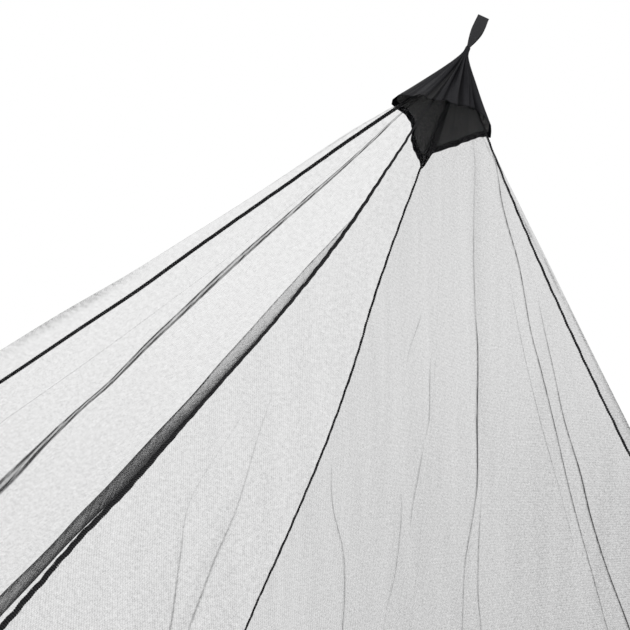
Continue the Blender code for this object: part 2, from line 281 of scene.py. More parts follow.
def new_group(
    name: str, inputs: Rows, outputs: Iterable[str]
) -> tuple[bpy.types.NodeTree, NodePen, bpy.types.Node, bpy.types.Node]:
    """Start a shader node group with named inputs and outputs.

    Args:
        name: its name.
        inputs: rows of (name, start value), where a None value makes a vector input.
        outputs: the names of its value outputs.

    Returns:
        The group, a pen for it, its input node and its output node.
    """
    tree = bpy.data.node_groups.new(name, "ShaderNodeTree")
    for label, start in inputs:
        kind = "NodeSocketVector" if start is None else "NodeSocketFloat"
        socket = tree.interface.new_socket(name=label, in_out="INPUT", socket_type=kind)
        if start is not None:
            socket.default_value = start
    for label in outputs:
        tree.interface.new_socket(name=label, in_out="OUTPUT", socket_type="NodeSocketFloat")
    pen = NodePen(tree)
    return tree, pen, pen.node("NodeGroupInput"), pen.node("NodeGroupOutput")


class Effects:
    """The shared effects: open mesh, plain weave and lint."""

    def __init__(self) -> None:
        """Build every group once."""
        self.open_mesh = self._open_mesh()
        self.weave = self._weave()
        self.lint = self._lint()

    @staticmethod
    def _open_mesh() -> bpy.types.NodeTree:
        """Return the group for knitted net: threads round uneven holes, streaks, and the fibres of a fold."""
        tree, pen, start, end = new_group(
            "open_mesh",
            (
                ("Vector", None), ("Holes per metre", 450.0), ("Thread", 0.2), ("Streaks", 0.1),
                ("Patches", 0.2),
            ),
            ("Cover", "Fibres"),
        )
        cells = pen.node("TexVoronoi", feature="DISTANCE_TO_EDGE", voronoi_dimensions="2D")
        pen.feed(cells.inputs["Vector"], start.outputs["Vector"])
        pen.feed(cells.inputs["Scale"], start.outputs["Holes per metre"])
        cells.inputs["Randomness"].default_value = 0.45
        thread = pen.node("MapRange", interpolation_type="SMOOTHSTEP")
        pen.feed(thread.inputs["Value"], cells.outputs["Distance"])
        thread.inputs["From Min"].default_value = 0.0
        pen.feed(thread.inputs["From Max"], start.outputs["Thread"])
        thread.inputs["To Min"].default_value = 1.9
        thread.inputs["To Max"].default_value = 0.45
        fine = pen.ranged(pen.noise(start.outputs["Vector"], 300.0, 2.0), 0.3, 0.7, 0.60, 1.40)
        patchy = pen.ranged(pen.noise(start.outputs["Vector"], 115.0, 1.0), 0.3, 0.7, -1.0, 1.0)
        patchy = pen.sum("ADD", pen.sum("MULTIPLY", patchy, start.outputs["Patches"]), 1.0)
        grain = pen.sum("MULTIPLY", fine, patchy)
        drawn = pen.noise(pen.moved(start.outputs["Vector"], (34.0, 2.2, 1.0)), 1.0, 2.0)
        streak = pen.sum("MULTIPLY", pen.ranged(drawn, 0.3, 0.7, -1.0, 1.0), start.outputs["Streaks"])
        knit = pen.sum("MULTIPLY", thread.outputs["Result"], grain)
        cover = pen.sum("MULTIPLY", knit, pen.sum("ADD", streak, 1.0))
        pen.feed(end.inputs["Cover"], cover)
        fibres = pen.noise(pen.moved(start.outputs["Vector"], (260.0, 7.0, 1.0)), 1.0, 2.0)
        pen.feed(end.inputs["Fibres"], pen.ranged(fibres, 0.3, 0.7, 0.55, 1.35))
        return tree

    @staticmethod
    def _weave() -> bpy.types.NodeTree:
        """Return the group for a plain weave of warp and weft: its height, and its gaps."""
        tree, pen, start, end = new_group(
            "plain_weave",
            (("Vector", None), ("Threads per metre", 1200.0), ("Unevenness", 0.2)),
            ("Height", "Gaps"),
        )
        scale = pen.node("VectorMath", operation="SCALE")
        pen.feed(scale.inputs[0], start.outputs["Vector"])
        pen.feed(scale.inputs["Scale"], pen.sum("MULTIPLY", start.outputs["Threads per metre"], math.pi))
        parts = pen.node("SeparateXYZ")
        pen.feed(parts.inputs[0], scale.outputs[0])
        warp = pen.sum("SINE", parts.outputs["X"])
        weft = pen.sum("SINE", parts.outputs["Y"])
        over = pen.sum("ABSOLUTE", pen.sum("MULTIPLY", warp, weft))
        rough = pen.noise(start.outputs["Vector"], 900.0, 2.0)
        height = pen.sum("ADD", over, pen.sum("MULTIPLY", rough, start.outputs["Unevenness"]))
        pen.feed(end.inputs["Height"], height)
        pen.feed(end.inputs["Gaps"], pen.ranged(height, 0.0, 0.5, 1.0, 0.0))
        return tree

    @staticmethod
    def _lint() -> bpy.types.NodeTree:
        """Return the group for lint and rubbed places: a mask that is 0 on clean cloth."""
        tree, pen, start, end = new_group("lint", (("Vector", None), ("Amount", 0.3)), ("Mask",))
        specks = pen.ranged(pen.noise(start.outputs["Vector"], 420.0, 3.0), 0.58, 0.72, 0.0, 1.0)
        patches = pen.ranged(pen.noise(start.outputs["Vector"], 26.0, 2.0), 0.35, 0.7, 0.2, 1.0)
        spread = pen.sum("MULTIPLY", specks, patches)
        mask = pen.sum("MULTIPLY", spread, start.outputs["Amount"], clamp=True)
        pen.feed(end.inputs["Mask"], mask)
        return tree


def new_material(name: str, view: Colour) -> tuple[bpy.types.Material, NodePen, bpy.types.Node]:
    """Start a material with a Principled shader.

    Args:
        name: its name.
        view: its plain colour.

    Returns:
        The material, a pen for its tree and the shader node.
    """
    made = bpy.data.materials.new(name)
    made.use_nodes = True
    made.diffuse_color = (*view, 1.0)
    pen = NodePen(made.node_tree)
    pen.count = 4
    return made, pen, made.node_tree.nodes["Principled BSDF"]


@dataclass(frozen=True)
class NetFinish:
    """Sheer knitted net. The held_back share is what one flat layer takes from the light behind it."""

    effects: Effects
    colour: Colour = (0.012, 0.012, 0.013)
    holes_per_metre: float = 430.0
    thread: float = 0.30
    streaks: float = 0.10

    def make(self, name: str, held_back: float, patches: float) -> bpy.types.Material:
        """Return the net's material.

        Args:
            name: the material's name.
            held_back: the share of light that one flat layer holds back.
            patches: how uneven the knit is from one small patch to the next.

        Returns:
            The material.
        """
        made, pen, shader = new_material(name, self.colour)
        cut = pen.node("UVMap", uv_map="cut")
        amounts = {"Holes per metre": self.holes_per_metre, "Thread": self.thread, "Streaks": self.streaks}
        mesh = pen.effect(self.effects.open_mesh, cut.outputs["UV"], {**amounts, "Patches": patches})
        cover = pen.node("Attribute", attribute_name="cover")
        gather = pen.node("Attribute", attribute_name="gather")
        knit = pen.sum("MULTIPLY", mesh.outputs["Cover"], cover.outputs["Fac"])
        flat = pen.sum("MULTIPLY", knit, held_back)
        packed = pen.sum("MULTIPLY", gather.outputs["Fac"], mesh.outputs["Fibres"])
        pen.feed(shader.inputs["Alpha"], pen.sum("MINIMUM", pen.sum("ADD", flat, packed), CLOSEST_NET))
        lint = pen.effect(self.effects.lint, cut.outputs["UV"], {"Amount": 0.4})
        pen.feed(shader.inputs["Base Color"], pen.mixed(lint.outputs["Mask"], self.colour, NET_LINT))
        shader.inputs["Roughness"].default_value = 0.7
        shader.inputs["Specular IOR Level"].default_value = 0.2
        return made


@dataclass(frozen=True)
class ClothFinish:
    """Close black cloth: the cap's outside and inside, and the webbing."""

    effects: Effects
    colour: Colour
    low_colour: Colour
    roughness: float
    threads_per_metre: float
    relief: float
    sheen: float
    shine: float = 0.3
    mask: str = ""
    mask_colour: Colour = (0.002, 0.002, 0.003)
    cloud_scale: float = 60.0
    clouds: float = 0.5

    def make(self, name: str) -> bpy.types.Material:
        """Return the cloth's material.

        Args:
            name: the material's name.

        Returns:
            The material.
        """
        made, pen, shader = new_material(name, self.colour)
        cut = pen.node("UVMap", uv_map="cut")
        threads = {"Threads per metre": self.threads_per_metre}
        weave = pen.effect(self.effects.weave, cut.outputs["UV"], threads)
        lint = pen.effect(self.effects.lint, cut.outputs["UV"], {})
        cloudy = pen.ranged(pen.noise(cut.outputs["UV"], self.cloud_scale, 3.0), 0.3, 0.7, 0.0, self.clouds)
        deep = pen.sum("MAXIMUM", weave.outputs["Gaps"], cloudy)
        colour = pen.mixed(deep, self.colour, self.low_colour)
        colour = pen.mixed(lint.outputs["Mask"], colour, CLOTH_LINT)
        # Where the mask is set, the colour goes dark and the shine drops: painted shade in the cap's outer
        # fold valleys, and on its inside the turned hem band and a strip of painted shade by one corner.
        if self.mask:
            band = pen.node("Attribute", attribute_name=self.mask).outputs["Fac"]
            colour = pen.mixed(band, colour, self.mask_colour)
            pen.feed(shader.inputs["Specular IOR Level"], pen.ranged(band, 0.0, 1.0, self.shine, 0.02))
        else:
            shader.inputs["Specular IOR Level"].default_value = self.shine
        pen.feed(shader.inputs["Base Color"], colour)
        rough = pen.ranged(weave.outputs["Height"], 0.0, 1.0, self.roughness + 0.15, self.roughness)
        pen.feed(shader.inputs["Roughness"], rough)
        bump = pen.node("Bump")
        bump.inputs["Strength"].default_value = self.relief
        bump.inputs["Distance"].default_value = 0.0004
        pen.feed(bump.inputs["Height"], weave.outputs["Height"])
        pen.feed(shader.inputs["Normal"], bump.outputs["Normal"])
        shader.inputs["Sheen Weight"].default_value = self.sheen
        shader.inputs["Sheen Roughness"].default_value = 0.4
        return made


@dataclass(frozen=True)
class ThreadFinish:
    """Black sewing thread, slightly glossy and uneven along its length."""

    effects: Effects
    colour: Colour = (0.005, 0.005, 0.006)
    worn_colour: Colour = (0.020, 0.020, 0.022)
    roughness: float = 0.55

    def make(self, name: str) -> bpy.types.Material:
        """Return the thread's material.

        Args:
            name: the material's name.

        Returns:
            The material.
        """
        made, pen, shader = new_material(name, self.colour)
        place = pen.node("TexCoord")
        lint = pen.effect(self.effects.lint, place.outputs["Object"], {"Amount": 0.8})
        worn = pen.mixed(lint.outputs["Mask"], self.colour, self.worn_colour)
        pen.feed(shader.inputs["Base Color"], worn)
        twist = pen.noise(place.outputs["Object"], 1400.0, 1.0)
        rough = pen.ranged(twist, 0.3, 0.7, self.roughness - 0.1, self.roughness + 0.2)
        pen.feed(shader.inputs["Roughness"], rough)
        shader.inputs["Specular IOR Level"].default_value = 0.15
        return made


# ---------------------------------------------------------------------------------------------------------
# Mesh helpers


def select_only(piece: bpy.types.Object) -> None:
    """Make a piece the active object and the only one selected."""
    bpy.ops.object.select_all(action="DESELECT")
    piece.select_set(True)
    bpy.context.view_layer.objects.active = piece


def link_piece(mesh: bpy.types.Mesh, name: str) -> bpy.types.Object:
    """Put a mesh in the scene as a piece at the origin, and let it be the only one selected.

    Args:
        mesh: the mesh.
        name: the piece's name.

    Returns:
        The new object.
    """
    piece = bpy.data.objects.new(name, mesh)
    bpy.context.scene.collection.objects.link(piece)
    select_only(piece)
    return piece


def quads(lines: int, width: int, closed: bool) -> list[tuple[int, ...]]:
    """Return the faces between lines of vertices.

    Args:
        lines: how many lines there are.
        width: how many vertices each has.
        closed: whether the last vertex of a line joins its first.

    Returns:
        The faces.
    """
    faces = []
    for low in range(0, (lines - 1) * width, width):
        for place in range(width if closed else width - 1):
            after, high = (place + 1) % width, low + width
            faces.append((low + place, low + after, high + after, high + place))
    return faces


def smooth_mesh(name: str, points: Iterable[Vector], faces: Sequence[tuple[int, ...]]) -> bpy.types.Mesh:
    """Return a smoothly shaded mesh.

    Args:
        name: its name.
        points: its vertices.
        faces: its faces.

    Returns:
        The mesh.
    """
    mesh = bpy.data.meshes.new(name)
    mesh.from_pydata([tuple(point) for point in points], [], faces)
    mesh.polygons.foreach_set("use_smooth", [True] * len(faces))
    return mesh


def grid_mesh(name: str, rows: Sequence[Sequence[Vector]], closed: bool = False) -> bpy.types.Mesh:
    """Return a mesh of quads between rows of points.

    Args:
        name: the mesh's name.
        rows: equally long rows of points.
        closed: whether the last column joins the first.

    Returns:
        The mesh.
    """
    points = [point for row in rows for point in row]
    return smooth_mesh(name, points, quads(len(rows), len(rows[0]), closed))


def set_attribute(mesh: bpy.types.Mesh, name: str, values: Sequence[float]) -> None:
    """Store one number for each vertex of a mesh, under a name that its material reads."""
    layer = mesh.attributes.new(name, "FLOAT", "POINT")
    layer.data.foreach_set("value", values)


def set_cut(mesh: bpy.types.Mesh, places: Sequence[tuple[float, float]]) -> None:
    """Store where each vertex lies on the cut cloth, in metres, as the UV map of that name.

    Args:
        mesh: the mesh.
        places: a flat place for each vertex.
    """
    layer = mesh.uv_layers.new(name="cut")
    for loop in mesh.loops:
        layer.data[loop.index].uv = places[loop.vertex_index]


def tube_mesh(name: str, path: Sequence[Vector], radius: float, sides: int) -> bpy.types.Mesh:
    """Return a closed round tube along a path.

    Args:
        name: the mesh's name.
        path: the points of its centre line.
        radius: its radius.
        sides: how many sides it has.

    Returns:
        The mesh.
    """
    points = []
    across = Vector((0.0, 0.0, 1.0))
    for index, point in enumerate(path):
        run = (path[min(index + 1, len(path) - 1)] - path[max(index - 1, 0)]).normalized()
        first = across - run * across.dot(run)
        first = first.normalized() if first.length > 0.05 else run.orthogonal().normalized()
        across = first
        second = run.cross(first)
        for side in range(sides):
            angle = 2.0 * math.pi * side / sides
            points.append(point + (first * math.cos(angle) + second * math.sin(angle)) * radius)
    last = (len(path) - 1) * sides
    ends = [tuple(reversed(range(sides))), tuple(range(last, last + sides))]
    return smooth_mesh(name, points, quads(len(path), sides, True) + ends)


def joined(name: str, meshes: Sequence[bpy.types.Mesh]) -> bpy.types.Object:
    """Join meshes into one piece.

    Args:
        name: the piece's name.
        meshes: the meshes, which are used up.

    Returns:
        The piece.
    """
    whole = bmesh.new()
    for mesh in meshes:
        whole.from_mesh(mesh)
        bpy.data.meshes.remove(mesh)
    made = bpy.data.meshes.new(name)
    whole.to_mesh(made)
    whole.free()
    return link_piece(made, name)


def apply_modifier(piece: bpy.types.Object, kind: str, **settings: object) -> None:
    """Add a modifier to a piece and apply it.

    Args:
        piece: the piece.
        kind: the modifier's type.
        **settings: its settings.
    """
    select_only(piece)
    made = piece.modifiers.new(kind.lower(), kind)
    for name, value in settings.items():
        setattr(made, name, value)
    bpy.ops.object.modifier_apply(modifier=made.name)


def register(
    piece: bpy.types.Object, finish: bpy.types.Material, slot: str, *nodes: str
) -> bpy.types.Object:
    """Give a piece its finish, let it ride on the body, and hide the CAD nodes that it stands for.

    Args:
        piece: the piece.
        finish: its material.
        slot: not used.
        *nodes: the CAD nodes that it replaces.

    Returns:
        The piece.
    """
    if not piece.data.materials:
        piece.data.materials.append(finish)
    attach(piece, BODY)
    if nodes:
        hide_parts(*nodes)
    LOG.info("%s: %d faces", piece.name, len(piece.data.polygons))
    return piece


# ---------------------------------------------------------------------------------------------------------
# The net


@dataclass(frozen=True)
class SeamLine:
    """The line of one corner, from the meeting point down to the foot.

    The wander rows are (share of the fall, millimetres towards the front).
    """

    x_side: int
    y_side: int
    sag_mm: float
    wander: Rows

    def at(self, share: float) -> Vector:
        """Return the seam at a share of its fall.

        Args:
            share: 0 at the meeting point and 1 at the foot.

        Returns:
            The point.
        """
        spread = 0.5 * (share + math.sqrt(share * share + RIDGE_ROUNDING * RIDGE_ROUNDING))
        held = min(max(share, 0.0), 1.0)
        sag = self.sag_mm * MM * 4.0 * held * (1.0 - held)
        half = Vector((self.x_side * NET_LENGTH / 2.0, self.y_side * NET_WIDTH / 2.0, 0.0))
        along = half.normalized()
        sideways = Vector((along.y, -along.x, 0.0))
        if sideways.y > 0:
            sideways.negate()
        point = half * spread + sideways * flowing(self.wander, held) * MM
        point.z = MEETING_Z - RIDGE_FALL * share - sag
        return point


SEAM_LINES = {
    "front_left": SeamLine(
        -1, -1, 35,
        (
            (0.0, 0), (0.11, 6), (0.17, 5), (0.24, 4), (0.29, 2), (0.35, -2), (0.42, -1), (0.50, -2),
            (1.0, 0),
        ),
    ),
    "front_right": SeamLine(
        1, -1, 83,
        (
            (0.0, 0), (0.12, 4), (0.18, 1), (0.24, -1), (0.33, -5), (0.42, -6), (0.54, -4), (0.62, -1),
            (0.72, 1), (0.79, 1), (0.86, 3), (0.92, 1), (1.0, -2),
        ),
    ),
    "back_left": SeamLine(
        -1, 1, 28,
        (
            (0.0, 0), (0.11, 2), (0.18, 2), (0.24, -1), (0.30, -8), (0.39, -10), (0.48, -4), (0.54, 2),
            (0.60, 9), (0.67, 13), (1.0, 0),
        ),
    ),
    "back_right": SeamLine(1, 1, 73, ((0.0, 0), (0.16, 2), (0.30, -1), (1.0, 0))),
}


class Section(Enum):
    """How a fold lies across the cloth.

    Rows of place across in fold widths, height in cloth gaps, and how tightly the net is packed.
    """

    PLEAT = (
        (-0.62, 0.0, 0.0), (-0.50, 0.0, 0.06), (0.20, 0.1, 0.30), (0.36, 0.2, 0.45), (0.43, 0.3, 1.0),
        (0.50, 0.5, 1.0), (0.43, 0.9, 1.0), (0.36, 1.0, 0.45), (0.10, 1.0, 0.30), (-0.20, 1.0, 0.30),
        (-0.36, 1.2, 0.45), (-0.43, 1.3, 1.7), (-0.50, 1.5, 1.7), (-0.43, 1.8, 1.7), (-0.36, 2.0, 0.45),
        (-0.20, 2.0, 0.30), (0.50, 2.0, 0.06), (0.56, 1.6, 0.0),
    )
    TUCK = (
        (-0.66, 0.0, 0.0), (-0.56, 0.4, 0.50), (-0.46, 0.8, 1.0), (-0.22, 1.2, 1.0), (-0.10, 1.3, 0.45),
        (0.10, 1.3, 0.40), (0.24, 1.2, 0.90), (0.44, 0.9, 1.0), (0.54, 0.5, 0.40), (0.66, 0.0, 0.0),
    )
    CREASE = (
        (-1.6, 0.0, 0.0), (-0.9, 0.3, 0.08), (-0.5, 0.7, 0.40), (-0.18, 1.1, 1.0), (0.18, 1.1, 1.0),
        (0.5, 0.7, 0.40), (0.9, 0.3, 0.08), (1.6, 0.0, 0.0),
    )


@dataclass(frozen=True)
class Fold:
    """One fold down a panel, with path rows of (share down, place across, width in mm, packing).

    The place is a share of the way across, or for a fold that follows the right seam its distance from it
    in mm.
    """

    section: Section
    path: Rows
    gap_mm: float = 1.4
    by_right_seam: bool = False


@dataclass(frozen=True)
class Shade:
    """A soft band of closer net.

    The path rows are (share down, share across, half width in mm, packing).
    """

    path: Rows


def crease(*path: tuple[float, ...]) -> Fold:
    """Return a plain crease with the given path rows."""
    return Fold(Section.CREASE, path)


def soft_band(*path: tuple[float, ...]) -> Shade:
    """Return a soft band with the given path rows."""
    return Shade(path)


# Both long panels roll up beside one seam, where the net reads closer because it is seen edge on.
SILHOUETTE = soft_band(
    (0.05, 0.10, 1.5, 0.20), (0.3, 0.0224, 2.5, 0.34), (0.6, 0.0122, 2.5, 0.34), (1.0, 0.0076, 2.5, 0.0),
)

LIFT_SHARES = (0.03, 0.08, 0.12, 0.24, 0.48, 0.80, 1.0)
ROW_COUNT = 96
EDGE_INSET_MM = 0.8
EDGE_ROLL_MM = 12.0
EDGE_COLUMNS_MM = (3.0, 7.0, 12.0, 19.0, 28.0, 40.0, 56.0)
EDGE_CROWDING = 0.12
WIDEST_INSET = 0.02
TOP_SHARE = 0.004
ROW_CROWDING = 1.25
HEM_TURN_SHARE = 0.0125
HEM_LIFT_MM = 1.1
STITCH_SHARE = 0.0006
STITCH_PACKING = 0.30
CLOSEST_FOLD = 0.9


@dataclass(frozen=True)
class NetPanel:
    """One triangular panel of net between two corner seams.

    The lift rows are (share across, millimetres outwards at each of the lift shares). The cover rows are
    (share down, how closely the net lies on the left, in the middle and on the right).
    """

    name: str
    left: str
    right: str
    held_back: float
    patches: float
    middle_columns: int
    lifts: Rows
    folds: tuple[Fold, ...]
    shades: tuple[Shade, ...]
    cover: Rows

    def outward(self) -> Vector:
        """Return the outward direction of the flat face between the two seams."""
        top = Vector((0.0, 0.0, MEETING_Z))
        first = SEAM_LINES[self.left].at(1.0) - top
        second = SEAM_LINES[self.right].at(1.0) - top
        normal = first.cross(second).normalized()
        middle = first + second
        return -normal if normal.x * middle.x + normal.y * middle.y < 0 else normal

    def width(self, share: float) -> float:
        """Return how far apart the two seams are at a share of the way down."""
        return (SEAM_LINES[self.right].at(share) - SEAM_LINES[self.left].at(share)).length

    def lift(self, across: float, share: float) -> float:
        """Return how far the cloth stands out from the flat face, at shares of the way across and down."""
        heights = [(row[0], flowing(list(zip(LIFT_SHARES, row[1:])), share)) for row in self.lifts]
        return stepped(heights, across) * MM

    def row_places(self, share: float) -> list[tuple[float, float, float]]:
        """Return the columns of one row, from the left seam to the right one.

        Args:
            share: share of the way down.

        Returns:
            For each column its share across, its height on a fold and how tightly the net is packed there.
        """
        width = self.width(share)
        inset = min(EDGE_INSET_MM * MM / width, WIDEST_INSET)
        steps = [place * MM / width for place in EDGE_COLUMNS_MM]
        edge = [inset + step / (1.0 + step / EDGE_CROWDING) for step in steps]
        clusters = [self._fold_places(fold, share, width) for fold in self.folds]
        first, last = clusters[0][0][0], clusters[-1][-1][0]
        near_left = edge if first > edge[-1] else spaced(inset, first, len(edge))
        near_right = [1.0 - place for place in reversed(edge)]
        if last > near_right[0]:
            near_right = spaced(last, 1.0 - inset, len(edge) + 6)[6:]
        per_gap = max(3, self.middle_columns // (len(clusters) + 1))
        places = [(place, 0.0, 0.0) for place in (inset, *near_left)]
        for stop in clusters + [[(place, 0.0, 0.0) for place in (*near_right, 1.0 - inset)]]:
            places.extend((place, 0.0, 0.0) for place in spaced(places[-1][0], stop[0][0], per_gap))
            places.extend(stop)
        return places

    @staticmethod
    def _fold_places(fold: Fold, share: float, width: float) -> list[tuple[float, float, float]]:
        """Return the columns of one fold in one row.

        Args:
            fold: the fold.
            share: share of the way down.
            width: the panel's width there.

        Returns:
            For each column its share across, its height and its packing.
        """
        centre = flowing(fold.path, share, 1)
        if fold.by_right_seam:
            centre = 1.0 - centre * MM / width
        spread = stepped(fold.path, share, 2) * MM / width
        packing = stepped(fold.path, share, 3)
        rise = fold.gap_mm * MM * min(1.0, spread * width / (3.0 * MM))
        return [(centre + row[0] * spread, row[1] * rise, row[2] * packing) for row in fold.section.value]

    def point(self, across: float, share: float, height: float = 0.0) -> Vector:
        """Return one point of the hanging cloth.

        Args:
            across: share of the way from the left seam.
            share: share of the way down.
            height: how far a fold lifts it.

        Returns:
            The point.
        """
        left, right = SEAM_LINES[self.left].at(share), SEAM_LINES[self.right].at(share)
        width = (right - left).length
        clear = min(across, 1.0 - across) * width - EDGE_INSET_MM * MM
        rise = (self.lift(across, share) + height) * eased(clear / (EDGE_ROLL_MM * MM))
        return left + (right - left) * across + self.outward() * rise

    def closeness(self, across: float, share: float) -> float:
        """Return how closely the net lies at shares of the way across and down, where 1 is flat cloth."""
        left, middle, right = (flowing(self.cover, share, column) for column in (1, 2, 3))
        return stepped(((0.0, left), (0.5, middle), (1.0, right)), across)

    def shading(self, across: float, share: float, width: float) -> float:
        """Return how much the soft bands add at one place.

        Args:
            across: share of the way from the left seam.
            share: share of the way down.
            width: the panel's width there.

        Returns:
            The added packing.
        """
        added = 0.0
        for band in self.shades:
            spread = stepped(band.path, share, 2) * MM
            distance = (across - flowing(band.path, share, 1)) * width
            added += stepped(band.path, share, 3) * math.exp(-((distance / spread) ** 2))
        return added

    def build(self, finish: NetFinish) -> bpy.types.Object:
        """Build the panel with its folds and the turned hem at its foot.

        Args:
            finish: the net's finish.

        Returns:
            The piece.
        """
        outward = self.outward()
        steps = [(number / ROW_COUNT) ** ROW_CROWDING for number in range(ROW_COUNT + 1)]
        levels = [(TOP_SHARE + (1.0 - TOP_SHARE) * step, 0.0) for step in steps]
        levels.append((1.0 - STITCH_SHARE, 0.6))
        levels += [(1.0 - HEM_TURN_SHARE + stitch * STITCH_SHARE, 1.0) for stitch in (2.0, 1.0, 0.0)]
        rows, cover, gather, cut = [], [], [], []
        fall = 0.0
        before = self.point(0.5, TOP_SHARE)
        for number, (share, inside) in enumerate(levels):
            width = self.width(share)
            middle = self.point(0.5, share)
            fall += (middle - before).length
            before = middle
            row = []
            for across, height, packing in self.row_places(share):
                point = self.point(across, share, height) - outward * inside * HEM_LIFT_MM * MM
                row.append(point)
                shade = self.shading(across, share, width) / self.held_back
                cover.append(self.closeness(across, share) + shade)
                stitch = STITCH_PACKING if number == len(levels) - 2 else 0.0
                gather.append(min(CLOSEST_FOLD, packing + stitch))
            lengths = [0.0]
            for first, second in zip(row, row[1:]):
                lengths.append(lengths[-1] + (second - first).length)
            cut.extend((length - lengths[-1] / 2.0, -fall) for length in lengths)
            rows.append(row)
        mesh = grid_mesh(self.name + "_cloth", rows)
        set_attribute(mesh, "cover", cover)
        set_attribute(mesh, "gather", gather)
        set_cut(mesh, cut)
        piece = link_piece(mesh, self.name + "_cloth")
        register(piece, finish.make(self.name + "_mesh", self.held_back, self.patches), "net", self.name)
        return piece

    def declare(self, piece: bpy.types.Object, seams: Sequence[str]) -> None:
        """Work out the panel's width at its foot and its length down the middle; nothing is done with them.

        Args:
            piece: not used.
            seams: not used.
        """
        foot = self.width(1.0)
        slope = (self.point(0.5, 1.0) - self.point(0.5, TOP_SHARE)).length + 0.02


